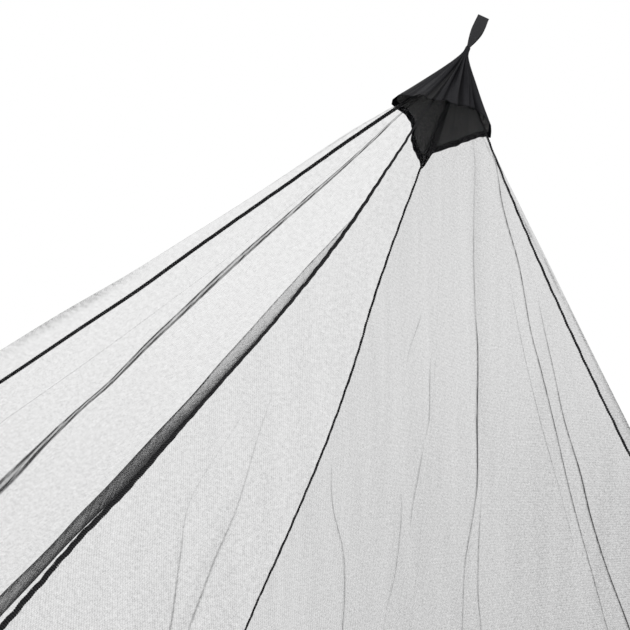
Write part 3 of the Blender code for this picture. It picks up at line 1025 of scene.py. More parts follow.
NET_PANELS = (
    NetPanel(
        "net_front", "front_left", "front_right", held_back=0.080, patches=0.40, middle_columns=44,
        lifts=(
            (0.00, 0, 9, 14, 21, 48, 54, 15), (0.05, 0, 9, 14, 21, 48, 54, 15),
            (0.20, 0, 4, 6, 9, 28, 34, 8), (0.42, 0, 0, 1, 3, 8, 6, -14), (0.62, 0, 0, 0, 2, 2, -4, 12),
            (0.85, 0, 0, 0, 2, 3, 2, -8), (1.00, 0, 0, 0, 0, 0, 0, 0),
        ),
        folds=(
            crease(
                (0.0, 0.50, 1.0, 0.0), (0.3, 0.49, 2.0, 0.05), (0.6, 0.46, 2.4, 0.10),
                (1.0, 0.45, 2.0, 0.02),
            ),
            Fold(
                Section.PLEAT,
                (
                    (0.0, 3, 0.8, 0.0), (0.30, 4, 0.8, 0.0), (0.335, 5, 3, 0.15), (0.36, 8, 6, 0.32),
                    (0.43, 21, 32, 0.30), (0.51, 27.5, 45, 0.26), (0.585, 29, 48, 0.32),
                    (0.65, 25, 44, 0.62), (0.72, 28, 49, 1.20), (0.77, 30, 51, 1.60),
                    (0.82, 33, 48, 1.75), (0.87, 32, 38, 1.70), (0.935, 46, 50, 1.50), (1.0, 55, 60, 1.1),
                ),
                gap_mm=2.0, by_right_seam=True,
            ),
        ),
        shades=(
            SILHOUETTE,
            soft_band(
                (0.40, 0.996, 3.0, 0.0), (0.50, 0.9968, 4.0, 0.14), (0.60, 0.9974, 5.0, 0.34),
                (0.72, 0.9978, 5.5, 0.80), (0.80, 0.9978, 5.0, 0.45), (0.86, 0.9978, 5.0, 0.10),
                (1.0, 0.998, 5.0, 0.0),
            ),
        ),
        cover=((0.0, 1.0, 1.0, 1.0), (0.4, 1.0, 1.0, 1.0), (0.7, 1.3, 1.4, 1.5), (1.0, 1.6, 1.6, 1.6)),
    ),
    NetPanel(
        "net_right", "front_right", "back_right", held_back=0.134, patches=0.10, middle_columns=56,
        lifts=(
            (0.00, 0, 0, 0, 0, 0, 0, 0), (0.15, 0, 0, 0, 3, 8, 10, 12), (0.50, 0, 0, 0, -3, -10, -12, -8),
            (0.85, 0, 0, 0, 4, 8, 10, 10), (1.00, 0, 0, 0, 0, 0, 0, 0),
        ),
        folds=(
            crease(
                (0.0, 0.12, 0.4, 0.0), (0.64, 0.19, 0.8, 0.0), (0.70, 0.21, 1.6, 0.35),
                (0.745, 0.24, 1.8, 0.42), (0.82, 0.255, 1.6, 0.30), (0.9, 0.26, 1.5, 0.10),
                (1.0, 0.27, 1.0, 0.0),
            ),
            crease(
                (0.0, 0.31, 0.4, 0.0), (0.395, 0.312, 0.8, 0.0), (0.42, 0.305, 1.6, 0.25),
                (0.46, 0.29, 1.5, 0.15), (0.50, 0.29, 1.0, 0.0), (0.62, 0.31, 1.0, 0.0),
                (0.66, 0.318, 1.6, 0.25), (0.73, 0.315, 1.6, 0.28), (0.78, 0.305, 1.5, 0.10),
                (1.0, 0.30, 1.0, 0.0),
            ),
            crease(
                (0.0, 0.40, 0.4, 0.0), (0.45, 0.355, 0.8, 0.0), (0.475, 0.355, 1.8, 0.38),
                (0.53, 0.36, 1.8, 0.35), (0.56, 0.352, 1.2, 0.05), (0.60, 0.345, 1.8, 0.32),
                (0.65, 0.336, 1.6, 0.22), (0.70, 0.335, 1.0, 0.0), (1.0, 0.335, 1.0, 0.0),
            ),
            crease(
                (0.0, 0.745, 0.8, 0.0), (0.12, 0.68, 1.5, 0.12), (0.195, 0.59, 1.8, 0.22),
                (0.275, 0.54, 2.0, 0.32), (0.345, 0.52, 2.2, 0.45), (0.395, 0.515, 2.2, 0.62),
                (0.49, 0.49, 2.4, 0.88), (0.565, 0.475, 2.2, 0.80), (0.60, 0.462, 2.0, 0.35),
                (0.665, 0.435, 1.6, 0.42), (0.71, 0.425, 1.6, 0.30), (0.80, 0.41, 1.5, 0.12),
                (1.0, 0.40, 1.0, 0.0),
            ),
            crease(
                (0.0, 0.80, 0.4, 0.0), (0.12, 0.715, 0.5, 0.0), (0.195, 0.617, 0.5, 0.0),
                (0.275, 0.562, 0.5, 0.0), (0.345, 0.54, 0.5, 0.0), (0.49, 0.505, 0.5, 0.0),
                (0.575, 0.483, 1.2, 0.10), (0.625, 0.468, 1.6, 0.36), (0.665, 0.458, 1.6, 0.42),
                (0.70, 0.452, 1.6, 0.36), (0.80, 0.45, 1.5, 0.15), (1.0, 0.46, 1.0, 0.0),
            ),
            crease(
                (0.0, 0.88, 0.4, 0.0), (0.3, 0.86, 1.8, 0.04), (0.6, 0.84, 2.2, 0.08),
                (1.0, 0.82, 2.0, 0.05),
            ),
        ),
        shades=(
            soft_band(
                (0.08, 0.72, 5.0, 0.05), (0.2, 0.605, 8.0, 0.07), (0.3, 0.55, 8.0, 0.06),
                (0.45, 0.51, 7.0, 0.04), (0.6, 0.47, 6.0, 0.0),
            ),
        ),
        cover=(
            (0.0, 1.2, 1.08, 1.1), (0.35, 1.05, 1.05, 1.1), (0.6, 1.15, 1.25, 1.5), (0.8, 1.2, 1.55, 2.0),
            (1.0, 1.25, 1.7, 2.1),
        ),
    ),
    NetPanel(
        "net_back", "back_right", "back_left", held_back=0.165, patches=0.10, middle_columns=48,
        lifts=(
            (0.00, 0, 3, 12, 27, 33, 24, 8), (0.06, 0, 3, 12, 27, 33, 24, 8),
            (0.35, 0, 0, 0, 2, -4, -8, -12), (0.65, 0, 0, 1, 4, 6, 4, 12), (0.92, 0, 1, 2, 6, 10, 8, -4),
            (1.00, 0, 0, 0, 0, 0, 0, 0),
        ),
        folds=(
            crease(
                (0.0, 0.03, 0.3, 0.0), (0.09, 0.02, 0.3, 0.0), (0.16, 0.06, 0.6, 0.0),
                (0.24, 0.115, 0.8, 0.0), (0.285, 0.14, 2.2, 0.30), (0.34, 0.155, 2.4, 0.48),
                (0.385, 0.165, 2.6, 0.55), (0.44, 0.165, 3.0, 0.82), (0.48, 0.17, 3.0, 0.90),
                (0.53, 0.17, 2.8, 0.76), (0.585, 0.165, 3.4, 0.70), (0.7, 0.16, 3.0, 0.40),
                (1.0, 0.15, 2.0, 0.10),
            ),
            crease(
                (0.0, 0.08, 0.3, 0.0), (0.09, 0.05, 1.2, 0.50), (0.155, 0.14, 3.0, 0.66),
                (0.225, 0.16, 2.8, 0.66), (0.29, 0.185, 2.4, 0.56), (0.335, 0.187, 2.6, 0.62),
                (0.385, 0.19, 2.6, 0.56), (0.46, 0.195, 2.6, 0.54), (0.55, 0.195, 2.0, 0.40),
                (0.8, 0.20, 2.0, 0.10), (1.0, 0.20, 2.0, 0.0),
            ),
            crease(
                (0.0, 0.14, 0.3, 0.0), (0.09, 0.10, 0.3, 0.0), (0.155, 0.18, 0.6, 0.0),
                (0.22, 0.205, 0.8, 0.0), (0.29, 0.22, 1.6, 0.24), (0.385, 0.22, 1.8, 0.30),
                (0.435, 0.215, 1.6, 0.24), (0.50, 0.212, 1.5, 0.15), (0.6, 0.215, 1.0, 0.0),
                (1.0, 0.22, 1.0, 0.0),
            ),
            crease((0.0, 0.60, 0.8, 0.0), (0.3, 0.58, 2.0, 0.06), (1.0, 0.56, 2.4, 0.10)),
        ),
        shades=(SILHOUETTE,),
        cover=((0.0, 1.0, 1.0, 1.0), (0.3, 1.0, 1.0, 1.0), (0.5, 1.6, 1.25, 1.0), (1.0, 1.9, 1.4, 1.0)),
    ),
    NetPanel(
        "net_left", "back_left", "front_left", held_back=0.089, patches=0.45, middle_columns=46,
        lifts=(
            (0.00, 0, 0, 0, 0, 0, 0, 0), (0.20, 0, 0, 1, 5, 10, 10, 10),
            (0.50, 0, 0, 0, -2, -8, -10, -10), (0.80, 0, 0, 1, 5, 12, 12, 8), (1.00, 0, 0, 0, 0, 0, 0, 0),
        ),
        folds=(
            crease(
                (0.0, 0.24, 0.4, 0.0), (0.36, 0.285, 0.6, 0.0), (0.40, 0.262, 2.2, 0.14),
                (0.505, 0.185, 3.0, 0.26), (0.585, 0.16, 4.0, 0.36), (0.635, 0.145, 4.4, 0.38),
                (0.72, 0.13, 4.0, 0.26), (1.0, 0.10, 2.0, 0.0),
            ),
            crease(
                (0.0, 0.36, 0.4, 0.0), (0.38, 0.35, 0.6, 0.0), (0.42, 0.337, 1.8, 0.08),
                (0.53, 0.32, 2.0, 0.14), (0.605, 0.245, 3.6, 0.32), (0.69, 0.18, 4.4, 0.42),
                (0.80, 0.16, 4.0, 0.18), (1.0, 0.14, 2.0, 0.0),
            ),
            Fold(
                Section.TUCK,
                (
                    (0.0, 0.86, 0.5, 0.0), (0.05, 0.85, 2.5, 0.50), (0.105, 0.79, 4.0, 0.78),
                    (0.19, 0.79, 6.5, 0.82), (0.295, 0.795, 9.5, 0.88), (0.38, 0.785, 9.0, 0.90),
                    (0.455, 0.765, 7.0, 0.95), (0.495, 0.765, 7.0, 0.97), (0.54, 0.76, 10.0, 0.94),
                    (0.625, 0.745, 18.0, 0.92), (0.75, 0.74, 20.0, 0.78), (1.0, 0.73, 22.0, 0.55),
                ),
            ),
        ),
        shades=(
            soft_band(
                (0.44, 0.225, 8.0, 0.0), (0.53, 0.19, 12.0, 0.035), (0.65, 0.158, 14.0, 0.045),
                (0.80, 0.14, 16.0, 0.02), (1.0, 0.12, 16.0, 0.0),
            ),
            soft_band(
                (0.42, 0.37, 8.0, 0.0), (0.56, 0.31, 12.0, 0.03), (0.66, 0.225, 14.0, 0.045),
                (0.80, 0.19, 16.0, 0.03), (1.0, 0.16, 16.0, 0.0),
            ),
        ),
        cover=((0.0, 1.0, 1.0, 1.0), (0.4, 1.2, 1.0, 1.0), (0.7, 1.6, 1.3, 1.2), (1.0, 1.8, 1.6, 1.5)),
    ),
)


# ---------------------------------------------------------------------------------------------------------
# The corner seams


@dataclass(frozen=True)
class OverlockSeam:
    """One rolled corner seam, a flat ribbon of net edges wound with overlock thread.

    The turn rows are (share down, degrees that the ribbon is turned about its own line), and the half width
    rows are (share down, mm).
    """

    corner: str
    turn: Rows
    half_width: Rows
    half_thickness_mm: float = 0.85
    thread_mm: float = 0.62
    pitch_mm: float = 4.4
    length_m: float = 1.9

    def _frame(self, share: float) -> tuple[Vector, Vector, Vector]:
        """Return the seam's point, the way across the ribbon and the way through it.

        Args:
            share: share of the way down.

        Returns:
            The point and the two directions.
        """
        line = SEAM_LINES[self.corner]
        point = line.at(share)
        run = (line.at(share + 0.004) - line.at(share - 0.004)).normalized()
        outward = Vector((line.x_side * NET_WIDTH, line.y_side * NET_LENGTH, 0.0)).normalized()
        across = run.cross(outward).normalized()
        through = across.cross(run).normalized()
        angle = math.radians(flowing(self.turn, share))
        cosine, sine = math.cos(angle), math.sin(angle)
        return point, across * cosine + through * sine, through * cosine - across * sine

    def _ring(self, share: float, angle: float, proud: float, swell: float = 1.0) -> Vector:
        """Return a point on or over the ribbon's surface.

        Args:
            share: share of the way down.
            angle: the way round the ribbon, in radians.
            proud: how far it stands over the surface.
            swell: how much wider than usual the ribbon is there.

        Returns:
            The point.
        """
        point, across, through = self._frame(share)
        wide = flowing(self.half_width, share) * MM * swell + proud
        deep = self.half_thickness_mm * MM + proud
        sway = 0.5 * MM * math.sin(share * 260.0) * math.sin(share * 97.0 + 1.0)
        return point + across * (wide * math.cos(angle) + sway) + through * deep * math.sin(angle)

    def _core(self) -> bpy.types.Mesh:
        """Return the ribbon itself, a little uneven along its length."""
        chance = random.Random(self.corner)
        count, sides = 560, 10
        rows, swell = [], 1.0
        for number in range(count + 1):
            share = -0.001 + 1.001 * number / count
            swell += (chance.uniform(0.66, 1.36) - swell) * 0.6
            angles = (2.0 * math.pi * side / sides for side in range(sides))
            rows.append([self._ring(share, angle, 0.0, swell) for angle in angles])
        mesh = grid_mesh("core", rows, closed=True)
        whole = bmesh.new()
        whole.from_mesh(mesh)
        whole.verts.ensure_lookup_table()
        whole.faces.new([whole.verts[side] for side in range(sides)])
        whole.faces.new([whole.verts[count * sides + side] for side in reversed(range(sides))])
        bmesh.ops.recalc_face_normals(whole, faces=whole.faces[:])
        whole.to_mesh(mesh)
        whole.free()
        return mesh

    def _thread(self, way: int, start: float) -> bpy.types.Mesh:
        """Return one thread wound round the ribbon.

        Args:
            way: 1 or -1, which way it winds.
            start: where in its first turn it starts, in turns.

        Returns:
            The mesh.
        """
        chance = random.Random(self.corner + str(way))
        turns = self.length_m / (self.pitch_mm * MM)
        steps = 8
        path = []
        for number in range(int(turns * steps) + 1):
            share = min(0.9995, number / (turns * steps) + chance.uniform(-0.00006, 0.00006))
            angle = way * 2.0 * math.pi * (number / steps + start)
            proud = (self.thread_mm * 0.35 + chance.uniform(0.0, 0.22)) * MM
            path.append(self._ring(max(share, 0.0), angle, proud))
        return tube_mesh("thread", path, self.thread_mm * MM / 2.0, 4)

    def build(self, finish: bpy.types.Material) -> bpy.types.Object:
        """Build the seam.

        Args:
            finish: the thread's material.

        Returns:
            The piece.
        """
        name = "seam_" + self.corner
        piece = joined(name + "_thread", [self._core(), self._thread(1, 0.0), self._thread(-1, 0.3)])
        return register(piece, finish, "seam", name)


CORNER_SEAMS = (
    OverlockSeam(
        "front_left",
        turn=((0.0, 0), (0.2, 35), (0.35, 10), (0.6, 0), (1.0, 15)),
        half_width=((0.0, 1.4), (0.1, 1.8), (0.25, 2.6), (0.40, 3.0), (0.50, 3.6), (1.0, 3.7)),
        half_thickness_mm=3.0,
    ),
    OverlockSeam(
        "front_right",
        turn=((0.0, 20), (0.2, 45), (0.4, 60), (0.55, 15), (0.75, 30), (0.95, 70), (1.0, 60)),
        half_width=(
            (0.0, 1.1), (0.2, 1.5), (0.35, 2.1), (0.50, 1.9), (0.65, 2.0), (0.75, 2.7), (0.84, 2.3),
            (0.92, 2.0), (1.0, 2.2),
        ),
    ),
    OverlockSeam(
        "back_left",
        turn=((0.0, 60), (0.3, 70), (0.6, 55), (1.0, 70)),
        half_width=((0.0, 1.3), (0.3, 1.9), (1.0, 1.6)),
    ),
    OverlockSeam(
        "back_right",
        turn=((0.0, 80), (0.3, 75), (0.6, 80), (1.0, 60)),
        half_width=((0.0, 1.3), (0.3, 1.5), (1.0, 1.5)),
    ),
)


# ---------------------------------------------------------------------------------------------------------
# The cap

CORNERS_ROUND = ("back_right", "back_left", "front_left", "front_right")
CORNER_BEARINGS = (26.57, 153.43, 206.57, 333.43)
NECK_RADIUS = 0.0034
NECK_ROUNDING = 0.03
CAP_SLOPE = 0.19
CAP_MIDDLE_RADIUS = 0.11
SHARP_CORNER = 0.12
CLEAR_ROUNDING = 0.0012
SEAM_REACH = 0.007
PULL_FROM = 0.055
# Half width and fade, in degrees, of the strip of painted shade inside the cap by the back left corner.
SHADED_STRIP_HALF_DEG = 6.4
SHADED_STRIP_FADE_DEG = 1.6
CAP_STITCH = 0.0027
CAP_STITCH_PITCH = 0.0036
CAP_STITCH_STEP_DEG = 0.35


def seam_at_drop(corner: str, drop: float) -> Vector:
    """Return a corner seam where it is a given drop below the neck.

    Args:
        corner: the corner's name.
        drop: how far below the neck.

    Returns:
        The point.
    """
    low, high = -0.002, 0.5
    for _ in range(30):
        middle = (low + high) / 2.0
        if NECK_Z - SEAM_LINES[corner].at(middle).z < drop:
            low = middle
        else:
            high = middle
    return SEAM_LINES[corner].at(low)


def net_reach(bearing: float, drop: float) -> float:
    """Return how far the net stands from the middle line.

    Args:
        bearing: the direction, in radians.
        drop: how far below the neck.

    Returns:
        The distance.
    """
    corners = [seam_at_drop(corner, drop) for corner in CORNERS_ROUND]
    reaches = []
    for first, second in zip(corners, corners[1:] + corners[:1]):
        side = (second.x - first.x, second.y - first.y)
        turn = math.cos(bearing) * side[1] - math.sin(bearing) * side[0]
        if abs(turn) > 1e-9:
            reaches.append((first.x * side[1] - first.y * side[0]) / turn)
    return min(reach for reach in reaches if reach > 0.0)


@dataclass(frozen=True)
class CapSlope:
    """One column of the cap.

    It holds how far the net stands out under the edge, how far the edge stands off the net, how far the
    edge hangs below the neck, how hollow the slope is, and how far a gather draws it in.
    """

    bearing_deg: float
    net: float
    out: float
    drop: float
    hollow: float
    pull: float


@dataclass(frozen=True)
class GatheredCap:
    """The cloth cap, gathered into the neck, with a turned hem.

    The edge rows are (bearing in degrees, mm out from the net, mm below the neck, hollowness, mm pulled in
    half way).
    """

    edge: Rows
    step_deg: float = 1.25
    slope_rows: int = 44
    thickness_mm: float = 0.55
    hem_mm: float = 11.0
    hem_gap_mm: float = 0.9
    neck_share: float = 0.05
    clear_mm: float = 4.6
    seam_clear_mm: float = 3.2
    # The bearing of the middle of that strip of painted shade.
    strip_deg: float = 150.5

    def _bearings(self) -> list[float]:
        """Return the bearings of the columns, every row of the table among them."""
        found = []
        for before, after in zip(self.edge, self.edge[1:]):
            steps = max(2, round((after[0] - before[0]) / self.step_deg))
            found.extend(before[0] + (after[0] - before[0]) * number / steps for number in range(steps))
        return found

    def _column(self, bearing_deg: float) -> CapSlope:
        """Return the cap's slope on one bearing.

        Args:
            bearing_deg: the bearing.

        Returns:
            The slope.
        """
        out, drop, hollow, pull = (stepped(self.edge, bearing_deg, column) for column in (1, 2, 3, 4))
        reach = net_reach(math.radians(bearing_deg), drop * MM)
        return CapSlope(bearing_deg, reach, out * MM, drop * MM, hollow, pull * MM)

    def _point(self, slope: CapSlope, share: float, inside: float) -> Vector:
        """Return one point of the cap, held clear of the net and its seams.

        Args:
            slope: the column's slope.
            share: the way down the slope.
            inside: how far inside the outer cloth it lies.

        Returns:
            The point.
        """
        run, whole = share - self.neck_share, 1.0 - self.neck_share
        spread = (run + math.hypot(run, NECK_ROUNDING)) / (whole + math.hypot(whole, NECK_ROUNDING))
        out = NECK_RADIUS + (slope.net + slope.out - NECK_RADIUS) * spread**slope.hollow
        out -= slope.pull * math.sin(math.pi * min(1.0, share) ** 0.75) * eased(out / PULL_FROM)
        drop = slope.drop * share
        below = (drop - (NECK_Z - MEETING_Z)) / (slope.drop - (NECK_Z - MEETING_Z))
        under = slope.net * 0.5 * (below + math.hypot(below, SHARP_CORNER))
        bearing = math.radians(slope.bearing_deg)
        sideways = min(under * abs(math.sin(bearing - math.radians(corner))) for corner in CORNER_BEARINGS)
        under += (self.clear_mm + self.seam_clear_mm * math.exp(-((sideways / SEAM_REACH) ** 2))) * MM
        least = NECK_RADIUS + (under - NECK_RADIUS) * eased((drop - 0.008) / 0.024)
        out = least + 0.5 * (out - least + math.hypot(out - least, CLEAR_ROUNDING))
        out += 0.35 * MM * math.sin(bearing * 31.0 + 5.0 * share) * math.sin(math.pi * share) - inside
        return Vector((out * math.cos(bearing), out * math.sin(bearing), NECK_Z - drop))

    def build(self, outside: bpy.types.Material, inner: bpy.types.Material) -> bpy.types.Object:
        """Build the cap with its cloth turned in at the edge.

        Args:
            outside: the finish of its outer side.
            inner: the finish of its inner side.

        Returns:
            The piece.
        """
        bearings = self._bearings()
        slopes = [self._column(bearing) for bearing in bearings]
        hem = self.hem_mm * MM / CAP_SLOPE
        steps = [number / self.slope_rows for number in range(self.slope_rows + 1)]
        levels = [(step, 0.0, 1.0 if step > 1.0 - hem else 0.0) for step in steps]
        levels += [(1.004, self.hem_gap_mm * 0.5 * MM, 1.0), (1.0, self.hem_gap_mm * MM, 1.0)]
        levels += [(1.0 - hem * part, self.hem_gap_mm * MM, 1.0) for part in (0.25, 0.5, 0.75, 0.95)]
        # Painted shade: the outer colour and shine go dark in the fold valleys, more where a gather pulls
        # deeper, fading out towards the neck.
        valley = [eased((slope.pull / MM - 2.0) / 7.0) for slope in slopes]
        rows, mask, shade, cut = [], [], [], []
        for share, inside, band in levels:
            row = [self._point(slope, share, inside) for slope in slopes]
            rows.append(row)
            shade.extend(deep * eased(share / 0.25) for deep in valley)
            # The inner colour goes dark on the turned hem band, and on a strip of bearings by the back left
            # corner as painted shade.
            for bearing in bearings:
                off_shaded_strip = abs(bearing - self.strip_deg)
                mask.append(max(band, eased((SHADED_STRIP_HALF_DEG - off_shaded_strip) / SHADED_STRIP_FADE_DEG)))
                down = -share * CAP_SLOPE - inside * 40.0
                cut.append((math.radians(bearing) * CAP_MIDDLE_RADIUS, down))
        mesh = grid_mesh("cap_cloth", rows, closed=True)
        mesh.flip_normals()
        set_attribute(mesh, "hem", mask)
        set_attribute(mesh, "valley", shade)
        set_cut(mesh, cut)
        piece = link_piece(mesh, "cap_cloth")
        piece.data.materials.append(outside)
        piece.data.materials.append(inner)
        apply_modifier(piece, "SOLIDIFY", thickness=self.thickness_mm * MM, offset=0.0)
        for face in piece.data.polygons:
            facing = face.normal.x * face.center.x + face.normal.y * face.center.y
            face.material_index = 0 if facing > 0.0 else 1
        return register(piece, outside, "cap", "cap")

    def stitches(self, finish: bpy.types.Material) -> bpy.types.Object:
        """Sew the hem: one short stitch after another along its upper edge.

        Args:
            finish: the thread's material.

        Returns:
            The piece.
        """
        share = 1.0 - 0.82 * self.hem_mm * MM / CAP_SLOPE
        line, bearing = [], self.edge[0][0]
        while bearing < self.edge[-1][0]:
            line.append(self._point(self._column(bearing), share, -0.00045))
            bearing += CAP_STITCH_STEP_DEG
        runs, travelled, current = [], 0.0, []
        for before, after in zip(line, line[1:]):
            travelled += (after - before).length
            if travelled % CAP_STITCH_PITCH < CAP_STITCH:
                current.append(after)
            elif len(current) > 1:
                runs.append(current)
                current = []
        meshes = [tube_mesh("stitch", run, 0.00024, 5) for run in runs]
        return register(joined("cap_stitches", meshes), finish, "cap")


CAP = GatheredCap(
    (
        (-27.0, 9.5, 176, 1.08, 9), (-24.5, 9, 168, 1.08, -3), (-21.5, 5.5, 158, 1.10, 9),
        (-18.5, 8.5, 153, 1.12, 3), (-14.0, 8.5, 154, 1.12, -5), (-9.0, 9, 150, 1.12, -4),
        (-5.5, 5.5, 147, 1.12, 8), (-1.0, 6, 142, 1.12, 7), (4.0, 9, 137, 1.12, 1), (7.5, 9, 134, 1.12, -6),
        (10.0, 5.5, 133, 1.12, 6), (13.0, 12, 131, 1.12, -4), (17.5, 7, 131, 1.14, 11),
        (22.0, 15, 136, 1.15, 1), (25.5, 17, 152, 1.16, -3), (28.0, 13, 171, 1.16, 0),
        (32.0, 12.5, 165, 1.12, 2), (41.0, 12, 160, 1.06, 0), (60.0, 12, 157, 1.04, -2),
        (81.0, 8, 157, 1.04, 2), (102.0, 12, 155, 1.04, -2), (122.0, 8, 156, 1.04, 2),
        (137.0, 8, 156, 1.02, 0), (148.0, 8, 155, 1.0, 3), (153.4, 9, 172, 1.0, -3),
        (158.0, 8, 163, 1.0, 0), (164.0, 9, 157, 1.0, 0), (171.0, 8, 149, 1.0, 0), (177.0, 9, 134, 1.0, 2),
        (184.0, 11, 127, 1.0, -1), (195.0, 9, 124, 1.0, 3), (204.5, 10, 124, 1.04, 3),
        (208.0, 20, 120, 1.12, 0), (214.0, 30, 116, 1.18, -1), (228.0, 28, 119, 1.20, -1),
        (241.0, 24, 124, 1.20, -1), (260.0, 17, 130, 1.20, 1), (275.0, 12, 134, 1.20, 0),
        (290.0, 13, 138, 1.18, 0), (304.0, 14, 140, 1.16, -1), (312.0, 12, 144, 1.14, 3),
        (321.0, 7, 152, 1.12, 9), (327.0, 8, 165, 1.10, 13), (333.0, 9.5, 176, 1.08, 9),
    ),
)


# ---------------------------------------------------------------------------------------------------------
# The hanging loop


@dataclass(frozen=True)
class WebbingLoop:
    """Flat webbing doubled over and sewn into the neck.

    The path rows are (share of the path, forward mm, up mm, side mm, width mm, hollow mm).
    """

    path: Rows
    thickness_mm: float = 1.1
    columns: int = 14
    ribs_per_mm: float = 0.9
    turn_deg: float = -19.6

    def build(self, finish: bpy.types.Material) -> bpy.types.Object:
        """Build the webbing with its thick woven edges.

        Args:
            finish: the webbing's material.

        Returns:
            The piece.
        """
        steps = 150
        shares = [number / steps for number in range(steps + 1)]
        centres = [Vector(flowing(self.path, share, column) * MM for column in (1, 3, 2)) for share in shares]
        rows, cut, travelled = [], [], 0.0
        for number, centre in enumerate(centres):
            before, after = centres[max(number - 1, 0)], centres[min(number + 1, steps)]
            travelled += (centre - before).length
            run = after - before
            outward = Vector((run.z, 0.0, -run.x)).normalized()
            width = flowing(self.path, number / steps, 4) * MM
            hollow = flowing(self.path, number / steps, 5) * MM
            edge = 1.0 + 0.003 * math.sin(travelled / MM * self.ribs_per_mm * math.pi)
            row = []
            for column in range(self.columns + 1):
                side = column / self.columns * 2.0 - 1.0
                bow = hollow * (1.0 - side * side)
                row.append(centre + Vector((0.0, width / 2.0 * side * edge, 0.0)) + outward * bow)
                cut.append((side * 0.010, travelled))
            rows.append(row)
        turn = Matrix.Rotation(math.radians(self.turn_deg), 3, "Z")
        mesh = grid_mesh("loop_webbing", [[turn @ point for point in row] for row in rows])
        set_cut(mesh, cut)
        piece = link_piece(mesh, "loop_webbing")
        apply_modifier(piece, "SOLIDIFY", thickness=self.thickness_mm * MM, offset=0.0)
        sharp = math.radians(50.0)
        apply_modifier(piece, "BEVEL", width=0.3 * MM, segments=2, limit_method="ANGLE", angle_limit=sharp)
        piece.data.polygons.foreach_set("use_smooth", [True] * len(piece.data.polygons))
        register(piece, finish, "webbing", "hanging_loop")
        return piece


LOOP = WebbingLoop(tuple(
    (share, *row) for share, row in zip(
        (
            0.0, 0.08, 0.115, 0.195, 0.295, 0.395, 0.449, 0.468, 0.481, 0.488, 0.5, 0.512, 0.519, 0.532,
            0.551, 0.605, 0.705, 0.805, 0.885, 0.92, 1.0,
        ),
        (
            (0.9, -77.0, 0.0, 3.4, 0.5), (0.9, -64.0, 0.0, 3.4, 0.6), (1.1, -58.0, 0.0, 7.0, 1.0),
            (2.0, -45.0, 0.3, 13.2, 1.8), (3.0, -29.0, 0.9, 18.6, 1.8), (3.7, -13.0, 1.5, 19.8, 0.8),
            (3.8, -4.5, 1.8, 20.0, 0.1), (3.6, -1.4, 1.9, 20.0, 0.0), (2.8, 0.3, 2.0, 20.0, 0.0),
            (1.8, 0.6, 2.0, 20.0, 0.0), (0.0, 0.6, 2.0, 20.0, 0.0), (-1.8, 0.6, 2.0, 20.0, 0.0),
            (-2.8, 0.3, 2.0, 20.0, 0.0), (-3.6, -1.4, 2.1, 20.0, 0.0), (-3.8, -4.5, 2.3, 20.0, 0.1),
            (-3.7, -13.0, 2.9, 19.8, 0.8), (-3.0, -29.0, 2.9, 18.6, 1.8), (-2.0, -45.0, 1.7, 13.2, 1.8),
            (-1.1, -58.0, 0.3, 7.0, 1.0), (-0.9, -64.0, 0.0, 3.4, 0.6), (-0.9, -77.0, 0.0, 3.4, 0.5),
        ),
    )
))


@dataclass(frozen=True)
class NeckBinding:
    """The turns of thread that bind the cap's gathers to the webbing."""

    top_mm: float = -62.0
    turns: int = 6
    radius_mm: float = 3.7
    thread_mm: float = 0.8

    def build(self, finish: bpy.types.Material) -> bpy.types.Object:
        """Build the binding, one turn modelled and the rest copied from it.

        Args:
            finish: the thread's material.

        Returns:
            The piece.
        """
        bpy.ops.object.select_all(action="DESELECT")
        bpy.ops.mesh.primitive_torus_add(
            major_radius=self.radius_mm * MM,
            minor_radius=self.thread_mm * MM / 2.0, major_segments=36, minor_segments=8,
        )
        first = bpy.context.active_object
        bpy.ops.object.mode_set(mode="EDIT")
        bpy.ops.mesh.select_all(action="SELECT")
        bpy.ops.transform.resize(value=(0.78, 1.0, 1.0), center_override=(0.0, 0.0, 0.0))
        bpy.ops.transform.rotate(value=math.radians(4.0), orient_axis="X", center_override=(0.0, 0.0, 0.0))
        bpy.ops.object.mode_set(mode="OBJECT")
        meshes = []
        for number in range(self.turns):
            copy = first.data.copy()
            height = self.top_mm * MM - 0.82 * self.thread_mm * MM * number
            copy.transform(Matrix.Translation((0.0, 0.0, height)))
            meshes.append(copy)
        bpy.data.objects.remove(first, do_unlink=True)
        return register(joined("neck_binding", meshes), finish, "seam")


# ---------------------------------------------------------------------------------------------------------
# The studio

LAMPS = (("key", (3.0, -0.9, 1.0), 1.0, 60.0), ("fill", (-1.6, -3.0, 1.6), 2.0, 10.0))
LIT_PLACE = Vector((0.0, 0.0, -0.2))
PALE = (0.86, 0.86, 0.86)
PALER = (0.89, 0.89, 0.89)


